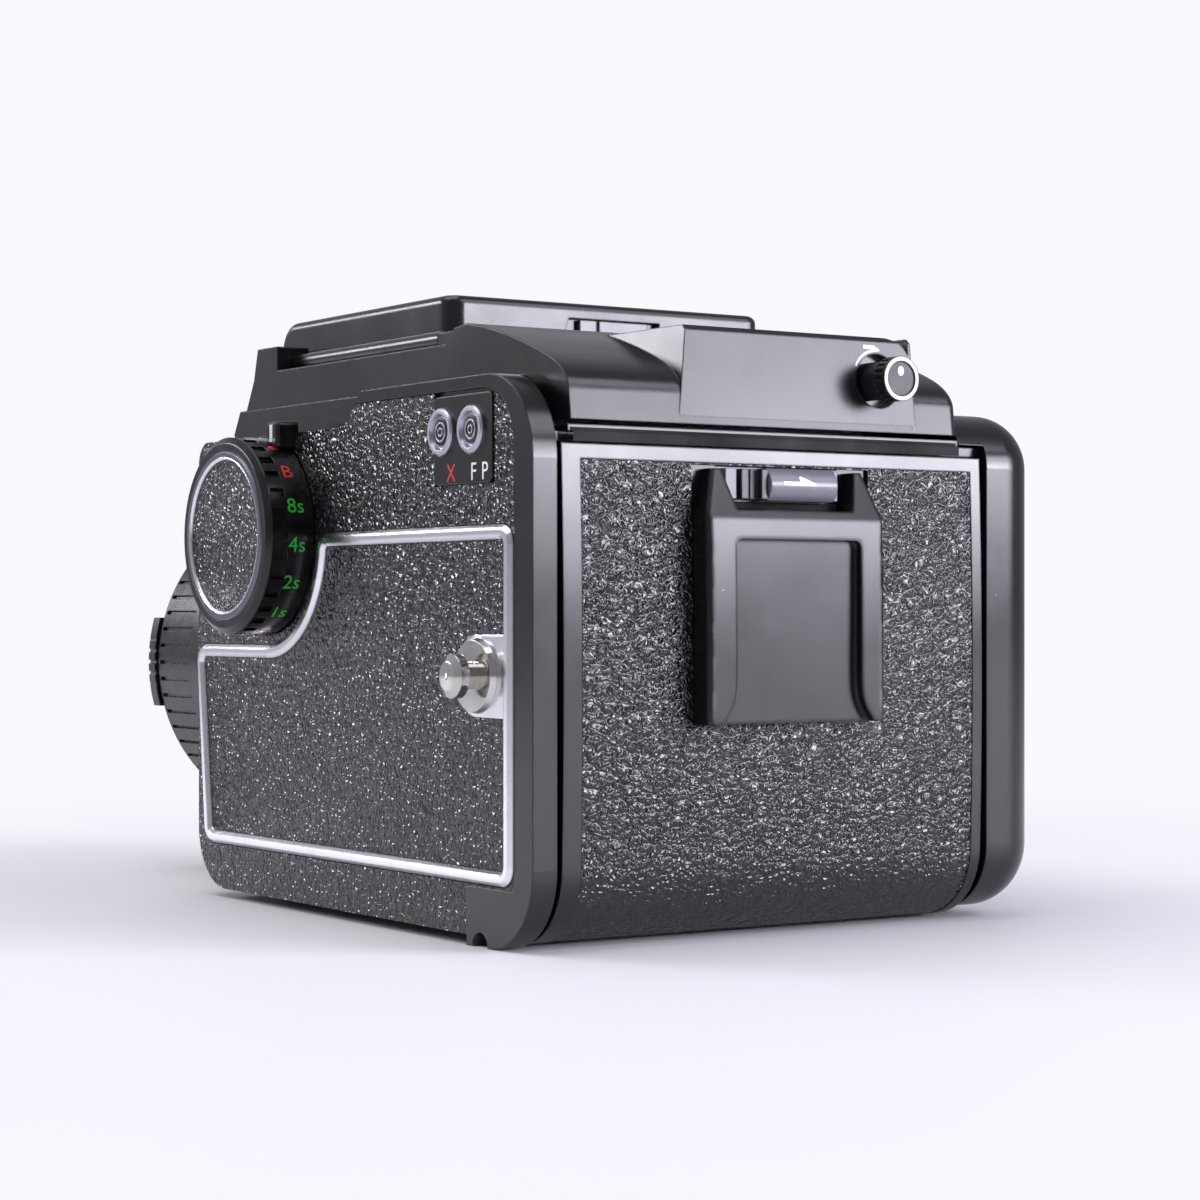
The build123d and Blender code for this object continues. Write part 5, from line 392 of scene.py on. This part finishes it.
def slab(outline, thick=mark_thick):
    """A flat shape, given by its corners in millimetres, as a slab about the XY plane."""
    shape = bmesh.new()
    face = shape.faces.new([shape.verts.new((u, v, -thick / 2)) for u, v in outline])
    top = bmesh.ops.extrude_face_region(shape, geom=[face])["geom"]
    moved = [v for v in top if isinstance(v, bmesh.types.BMVert)]
    bmesh.ops.translate(shape, verts=moved, vec=(0, 0, thick))
    bmesh.ops.recalc_face_normals(shape, faces=shape.faces)
    return as_mesh(shape, "slab")


def slice_up(mesh, axis, step):
    """Cuts a slab across every step millimetres, so that it can bend."""
    shape = bmesh.new()
    shape.from_mesh(mesh)
    high = max(v.co[axis] for v in shape.verts)
    cut_at = min(v.co[axis] for v in shape.verts) + step
    normal = Vector((0, 0, 0))
    normal[axis] = 1
    while cut_at < high:
        bmesh.ops.bisect_plane(shape, geom=shape.verts[:] + shape.edges[:] + shape.faces[:],
                               plane_co=normal * cut_at, plane_no=normal)
        cut_at += step
    shape.to_mesh(mesh)
    shape.free()


def round_drum(mesh, centre, reading, out, radius):
    """Bends a slab round a drum. reading is the way the words run at their middle, out is away from the
    drum's axis there, and the words run along that axis."""
    facet = 0.6
    slice_up(mesh, 1, facet)
    for vertex in mesh.vertices:
        u, v, w = vertex.co
        turn = Matrix.Rotation(v / radius, 3, -reading)
        vertex.co = (centre + reading * u + turn @ (out * (radius + w))) * MM


def lay_on(mesh, node, centre, reading, up):
    """Drops a slab on a CAD node's surface, from outside it."""
    drop_from, reach = 8, 30
    nudge_step, last_nudge = 0.01, 0.1
    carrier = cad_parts[node].data
    tree = BVHTree.FromPolygons([v.co for v in carrier.vertices],
                                [p.vertices for p in carrier.polygons])
    out = reading.cross(up)
    for vertex in mesh.vertices:
        u, v, w = vertex.co
        hit = None
        nudge = 0  # a ray that meets an edge between two facets can slip through, so it goes beside it
        while hit is None and nudge < last_nudge:
            start = (centre + reading * (u + nudge) + up * (v + nudge) + out * drop_from) * MM
            hit = tree.ray_cast(start, -out, reach * MM)[0]
            nudge += nudge_step
        vertex.co = hit + out * w * MM


def set_flat(mesh, centre, reading, up):
    """Puts a slab on a plane, about a point of it in millimetres."""
    out = reading.cross(up)
    for vertex in mesh.vertices:
        u, v, w = vertex.co
        vertex.co = (centre + reading * u + up * v + out * w) * MM


X_AXIS, Y_AXIS, Z_AXIS = Vector((1, 0, 0)), Vector((0, 1, 0)), Vector((0, 0, 1))

# The shutter dial. Turned from aluminium and anodised black, with a notched grip, a grey ring and a disc
# of leatherette. Its speeds are engraved round the smooth band and filled: seconds green, B red, fractions
# white.
dial_hub = Vector((48.6, -28.3, 62.7))
dial_radius = 16.5
dial_first = 28.5  # degrees behind the top, where the mark set against the post stands
dial_step = 22.5
dial_words = [("dot", red_fill), ("B", red_fill), ("8s", green_fill), ("4s", green_fill),
              ("2s", green_fill), ("1s", green_fill), ("dash", orange_fill), ("2", white_fill),
              ("4", white_fill), ("8", white_fill), ("15", white_fill), ("30", white_fill),
              ("60", white_fill), ("125", white_fill), ("250", white_fill), ("500", white_fill)]
dial_letters, dial_small_letters = 2.5, 2.0  # heights; values of three digits are the smaller


def oval(half_width, half_height):
    """The corners of an oval dot."""
    return [(half_width * cos(k * pi / 10), half_height * sin(k * pi / 10)) for k in range(20)]


def bar(low_u, high_u, low_v, high_v):
    """The corners of a rectangle."""
    return [(low_u, low_v), (high_u, low_v), (high_u, high_v), (low_u, high_v)]


for place, (word, fill) in enumerate(dial_words):
    if word == "dot":
        mark = slab(oval(0.9, 0.7))
    elif word == "dash":
        mark = slab(bar(-1.0, 1.0, -0.2, 0.2))
    else:
        mark = letters(word, dial_letters if len(word) < 3 else dial_small_letters)
    angle = radians(dial_first + dial_step * place)
    round_drum(mark, dial_hub, -X_AXIS, Vector((0, sin(angle), cos(angle))), dial_radius)
    add_piece(f"dial_mark_{place}", mark, fill, "speed_dial")


def anodised(name, colour, roughness, ring_axis=None):
    """Black anodised aluminium, a little rubbed. The lathe's fine rings run about ring_axis (0 X, 1 Y,
    2 Z); without one the grain is even."""
    material, tree, where = new_material(name)
    rubbed_grey, edge_mm = "#1C1C20", 0.25
    scale = [1, 1, 1]
    if ring_axis is not None:
        scale = [0.04, 0.04, 0.04]  # draws the grain out along the rings, 25 times
        scale[ring_axis] = 1
    turned = add_node(tree, "ShaderNodeMapping", inputs={"Scale": scale},
                      links={"Vector": (where, "Object")})
    # rings a fifth of a millimetre apart; rubbed patches of four millimetres
    rings = add_node(tree, "ShaderNodeTexNoise", inputs={"Scale": 5 / MM, "Detail": 2},
                     links={"Vector": (turned, 0)})
    rub = add_node(tree, "ShaderNodeTexNoise", inputs={"Scale": 0.26 / MM, "Detail": 4},
                   links={"Vector": (where, "Object")})
    tone_factor = add_node(tree, "ShaderNodeMapRange", inputs={"From Min": 0.35, "From Max": 0.75},
                    links={"Value": (rub, "Fac")})
    shade = add_node(tree, "ShaderNodeMix", data_type="RGBA",
                     inputs={"A": linear(colour), "B": linear(rubbed_grey)},
                     links={"Factor": (tone_factor, 0)})
    gloss = add_node(tree, "ShaderNodeMapRange", links={"Value": (rub, "Fac")},
                     inputs={"From Min": 0.3, "From Max": 0.7, "To Min": roughness * 0.85,
                             "To Max": roughness * 1.2})
    edge = add_node(tree, "ShaderNodeBevel", samples=4, inputs={"Radius": edge_mm * MM})
    cut = add_node(tree, "ShaderNodeBump", inputs={"Strength": 0.35, "Distance": 0.02 * MM},
                   links={"Height": (rings, "Fac"), "Normal": (edge, 0)})
    oxide = add_node(tree, "ShaderNodeBsdfPrincipled", inputs={"IOR": 1.5},
                     links={"Base Color": (shade, "Result"), "Roughness": (gloss, 0),
                            "Normal": (cut, 0)})
    add_node(tree, "ShaderNodeOutputMaterial", links={"Surface": (oxide, 0)})
    return material


# To the eye: deep black: only the edges of the grip and of the post catch the light
dial_black = anodised("dial_black_anodised", "#060607", 0.21)
dress(dial_black, "lens_black", "shutter_dial", "dial_index_post")


def spun_ring(centre, axis, profile, segments):
    """A closed ring from a section given as (radius, height along the axis) corners, in millimetres."""
    shape = bmesh.new()
    side = axis.orthogonal().normalized()
    corners = [shape.verts.new((centre + side * r + axis * h) * MM) for r, h in profile]
    edges = [shape.edges.new((corners[k - 1], corners[k])) for k in range(len(corners))]
    bmesh.ops.spin(shape, geom=corners + edges, cent=centre * MM, axis=axis, dvec=(0, 0, 0),
                   angle=2 * pi, steps=segments, use_merge=True, use_duplicate=False)
    bmesh.ops.remove_doubles(shape, verts=shape.verts, dist=1e-6)
    bmesh.ops.recalc_face_normals(shape, faces=shape.faces)
    return as_mesh(shape, "ring")


# The dial's ring. Turned aluminium, anodised grey, with a bright bevel cut on its inner edge afterwards.
# To the eye: an even mid grey that sets off the bevel's bright line
dial_ring_grey = metal("satin_anodised_ring", "#777984", "#6A6C76", 0.28, 0.10)
dress(dial_ring_grey, "bright_trim", "dial_ring")
ring_face_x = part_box("dial_ring")[1].x / MM
bevel = spun_ring(Vector((ring_face_x, dial_hub.y, dial_hub.z)), X_AXIS,
                  [(12.66, -0.5), (12.66, -0.32), (12.98, 0.0), (13.15, 0.02), (13.25, -0.05),
                   (13.25, -0.5)], 96)
add_piece("dial_ring_bevel", bevel, bright_chrome, "speed_dial")

# The index post over the dial. A small block, milled and anodised black, screwed to the body. The line
# that the speeds are set to is engraved in its face and filled white.
post_low, post_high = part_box("dial_index_post")
post_middle = (post_low + post_high) / 2 / MM
post_middle.x = post_high.x / MM
line = slab(bar(-0.5, 0.5, -1.15, 1.7))
set_flat(line, post_middle, Y_AXIS, Z_AXIS)
add_piece("index_line", line, white_fill, "camera")

# The letters under the two flash sockets, engraved in the panel and filled: X in red for electronic flash,
# FP in white for bulbs.
outside_x, letters_z, letters_high = 48, 70.9, 2.6
for word, fill, y in (("X", red_fill, 32.9), ("F", white_fill, 39.6), ("P", white_fill, 42.9)):
    mark = letters(word, letters_high)
    lay_on(mark, "sync_panel", Vector((outside_x, y, letters_z)), Y_AXIS, Z_AXIS)
    add_piece(f"sync_letter_{word}", mark, fill, "camera")

# The insides of the sockets. A moulded washer holds the contact, a thin nickel-plated tube, and the pin's
# tube in it. Their sections are radii and heights about the shell's rim.
socket_z = 77.2
# To the eye: dark red-brown with a dull shine: the washer of the FP socket has aged
contact_brown = enamel("old_brown_insulation", "#2E130B", 0.35, 0.3, 0.0)
socket_face_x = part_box("sync_sockets")[1].x / MM
for name, y, washer_finish in (("X", 30.2, panel_black), ("FP", 39.1, contact_brown)):
    hub = Vector((socket_face_x, y, socket_z))
    washer = spun_ring(hub, X_AXIS, [(0.001, -1.2), (0.001, -0.47), (2.1, -0.47), (2.1, -1.2)], 40)
    add_piece(f"sync_washer_{name}", washer, washer_finish, "camera")
    for tube, outer, inner in (("contact", 1.55, 1.27), ("pin", 0.72, 0.46)):
        lip = 0.06
        shell = spun_ring(hub, X_AXIS, [(inner, -0.6), (inner, -0.3), (inner + lip, -0.24),
                                        (outer - lip, -0.24), (outer, -0.3), (outer, -0.6)], 40)
        add_piece(f"sync_{tube}_{name}", shell, satin_nickel, "camera")

# The waist-level finder and its hood. A light-alloy casting and folded sheet, sprayed satin black.
# To the eye: broad soft reflections, nearly white where a plane faces the lamp and black where it turns
# away
finder_satin = enamel("satin_black_finder_paint", "#131317", 0.24, 0.06, 0.07)
# To the eye: duller than the finder, so that the knob's notches read
knob_satin = enamel("satin_grey_knob", "#1C1C21", 0.42, 0.06, 0.0)
dress(knob_satin, "finder_black", "finder_release_knob")
dress(finder_satin, "finder_black", "finder_housing", "hood_lid", "hood_left_flap", "hood_right_flap",
      "hood_rear_flap", "magnifier_frame")

# The finder's release knob. A turned and knurled knob on a shaft through the block. A white ring and a dot
# are filled into its end, and a turned arrow is printed on the block beside it.
knob_low, knob_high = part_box("finder_release_knob")
knob_x = (knob_low.x + knob_high.x) / 2 / MM
knob_z = (knob_low.z + knob_high.z) / 2 / MM
knob_end = knob_high.y / MM
ring = spun_ring(Vector((knob_x, knob_end, knob_z)), Y_AXIS,
                 [(2.8, -0.3), (2.8, 0.02), (2.88, 0.06), (3.3, 0.06), (3.4, 0.0), (3.4, -0.3)], 48)
add_piece("knob_white_ring", ring, white_fill, "finder_knob")
dot_rise = 1.2
dot = slab(oval(0.6, 0.75))
lay_on(dot, "finder_release_knob", Vector((knob_x, knob_end, knob_z + dot_rise)), -X_AXIS, Z_AXIS)
add_piece("knob_dot", dot, white_fill, "finder_knob")

arrow_outer, arrow_inner, block_face_y = 5.05, 4.62, 56
arc = [(arrow_outer * cos(radians(a)), arrow_outer * sin(radians(a))) for a in range(153, 96, -6)]
arc += [(-2.6, 5.0), (-2.6, 5.65), (-0.4, 5.6), (0.7, 4.95), (0.5, 4.72)]
arc += [(arrow_inner * cos(radians(a)), arrow_inner * sin(radians(a))) for a in range(92, 156, 6)]
turn_arrow = slab(arc)
lay_on(turn_arrow, "finder_housing", Vector((knob_x, block_face_y, knob_z)), -X_AXIS, Z_AXIS)
add_piece("knob_turn_arrow", turn_arrow, white_fill, "camera")


# The film door's hardware. The memo holder is a smooth pressing, fixed from inside the door. The latch is
# a turned barrel, lacquered grey, that slides in the holder's window.
# To the eye: an unbroken sheen that goes over from grey to black round the folded edges
holder_satin = enamel("satin_black_memo_holder", "#0E0E11", 0.22, 0.04, 0.02, 0.9)
dress(holder_satin, "body_black", "memo_holder")
# To the eye: mid grey, with one soft highlight along the barrel
latch_grey = enamel("silver_grey_lacquer", "#72727C", 0.24, 0.03, 0.0)
dress(latch_grey, "latch_grey", "door_latch_slider", "hood_catch")

# The latch's thumb grip, milled with grooves, and two small lacquered blocks: one ends the barrel, the
# other is fixed to the door and is what the barrel is pushed away from.
latch_middle = Vector((0, 0, 69.3))
thumb_high, block_high = 4.5, 4.6
# To the eye: dark, so that its bright ribs stand before a black groove
grip_dark = enamel("dark_grey_thumb_grip", "#25252A", 0.30, 0.1, 0.0)
thumb = slab([(4.2, 54.9), (9.2, 54.9), (9.2, 57.45), (7.9, 57.45), (7.9, 56.3), (7.3, 56.3),
              (7.3, 57.0), (6.9, 57.0), (6.9, 56.3), (5.4, 56.3), (5.4, 57.45), (4.2, 57.45)],
             thumb_high)
set_flat(thumb, latch_middle, X_AXIS, Y_AXIS)
add_piece("latch_thumb_grip", thumb, grip_dark, "door_latch")
# To the eye: a shade lighter than the barrel, and duller
block_grey = enamel("pale_grey_lacquer", "#777781", 0.30, 0.03, 0.0)
for name, body, low_x, high_x in (("latch_end_block", "door_latch", -9.2, -8.5),
                                  ("latch_stop_block", "door", 10.1, 12.1)):
    block = slab(bar(low_x, high_x, 54.8, 57.3), block_high)
    set_flat(block, latch_middle, X_AXIS, Y_AXIS)
    add_piece(name, block, block_grey, body)
# The white arrow printed on the barrel: a line with half a head, bent round it.
arrow_middle = Vector((-1.3, 58.2, 69.5))
pointer = slab([(-3.1, -0.3), (3.1, -0.3), (3.1, 0.05), (0.3, 1.15), (0.0, 0.95), (0.05, 0.3),
                (-3.1, 0.3)])
pointer_facet = 0.3
slice_up(pointer, 1, pointer_facet)
lay_on(pointer, "door_latch_slider", arrow_middle, -X_AXIS, Z_AXIS)
add_piece("latch_arrow", pointer, white_fill, "door_latch")

# Thin matt black strips on the body between the finder and the door, where the finder's overhang
# shades a matt, dusty band: partly its own black and partly painted shade; and on the floor of the latch's
# window, over and under the barrel, as painted shade. Only the rail's upper edge over them shines.
# To the eye: swallows the light but for a little dust
painted_shade_black = enamel("matt_black_painted_shade", "#060607", 0.75, 0.6, 0.25)
strip_thick = 0.06
for name, body, y, low_x, high_x, low_z, high_z in (
        ("door_shade_strip", "camera", 56.03, -34.9, 38.6, 74.85, 76.4),
        ("rail_shade_strip", "camera", 55.23, -34.9, 38.6, 76.4, 76.95),
        ("latch_shade_low", "door", 54.73, -11.0, 12.2, 65.6, 66.7),
        ("latch_shade_high", "door", 54.73, -11.0, 12.2, 71.9, 72.15)):
    strip = slab(bar(-high_x, -low_x, low_z, high_z), strip_thick)
    set_flat(strip, Vector((0, y, 0)), -X_AXIS, Z_AXIS)
    add_piece(name, strip, painted_shade_black, body)

# The winding crank, the levers and the buttons. Hubs and levers are aluminium, anodised like the dial; the
# crank's stem, the shutter button and the screws are turned steel.
dress(turned_steel, "steel", "crank_stem", "shutter_button", "base_screws", "battery_cover",
      "door_hinge_pin", "film_gate")
dress(dial_black, "lens_black", "crank_hub", "button_lock_collar", "lens_release_button",
      "mirror_lock_lever", "multi_exposure_lever", "crank_grip")

# The lens. Aluminium tubes, turned, ribbed and anodised black. The cap is moulded, and clips into the
# filter thread with its two tabs.
# To the eye: charcoal, with fine rings that draw the highlight out along the barrel
lens_black = anodised("lens_black_anodised", "#17171B", 0.26, 1)
dress(lens_black, "lens_black", "lens_barrel", "aperture_ring", "focus_ring", "lens_front")
# To the eye: blacker and matter than the lens, faintly pebbled by the mould
cap_plastic = enamel("moulded_black_cap", "#0C0C0E", 0.34, 0.35, 0.0)
dress(cap_plastic, "black_plastic", "lens_cap", "cap_tab_left", "cap_tab_right")

# Inside the camera. Brushed flat black paint, moulded spools, and a shutter of rubberised silk.
# To the eye: matt, so that the chamber and the finder's well stay dark
flat_black = enamel("flat_black_inside", "#0A0A0A", 0.62, 0.30, 0.0)
dress(flat_black, "inner_black", "screen_frame", "film_insert", "pressure_plate", "mirror_frame")
# To the eye: dull mid grey, that stands out from the chamber
spool_plastic = enamel("moulded_grey_spool", "#6C6D6B", 0.42, 0.20, 0.0)
dress(spool_plastic, "black_plastic", "supply_spool", "takeup_spool")
# To the eye: a fine flat weave, nearly black
# its first colour is a painted shade in the weave's creases
curtain = leatherette("rubberised_silk_curtain", "#060606", "#141415", 0.8, (1, 1, 1), (0, 0, 0),
                      0.01, 0.4, 0.01, 0.5, 0.6)
dress(curtain, "curtain_cloth", "shutter_curtains")


def glass(name, colour, roughness):
    """Optical glass, coated or ground: roughness also sets how strongly its grit bends the light."""
    material, tree, where = new_material(name)
    grit = add_node(tree, "ShaderNodeTexNoise", inputs={"Scale": 4 / MM, "Detail": 2},
                    links={"Vector": (where, "Object")})
    ground = add_node(tree, "ShaderNodeBump", inputs={"Strength": roughness, "Distance": 0.02 * MM},
                      links={"Height": (grit, "Fac")})
    body = add_node(tree, "ShaderNodeBsdfPrincipled",
                    inputs={"Base Color": linear(colour), "Roughness": roughness, "IOR": 1.52,
                            "Transmission Weight": 1.0}, links={"Normal": (ground, 0)})
    add_node(tree, "ShaderNodeOutputMaterial", links={"Surface": (body, 0)})
    return material


# The glass. Ground and polished lenses, the counter's window and the magnifier, a screen ground on one
# side, and the reflex mirror, silvered on its front.
# To the eye: clear, with a faint blue tint
coated_glass = glass("coated_lens_glass", "#DCE6F4", 0.02)
dress(coated_glass, "clear_glass", "front_glass", "rear_glass", "magnifier_lens", "counter_window")
# To the eye: milky: light passes and no shape does
ground_glass = glass("ground_focusing_glass", "#E8E8E8", 0.35)
dress(ground_glass, "ground_glass", "focusing_screen")
# To the eye: a clear bright image
silvered = metal("front_silvered_mirror", "#E6E6E8", "#DEDEE2", 0.02, 0.01)
dress(silvered, "mirror", "mirror_glass")
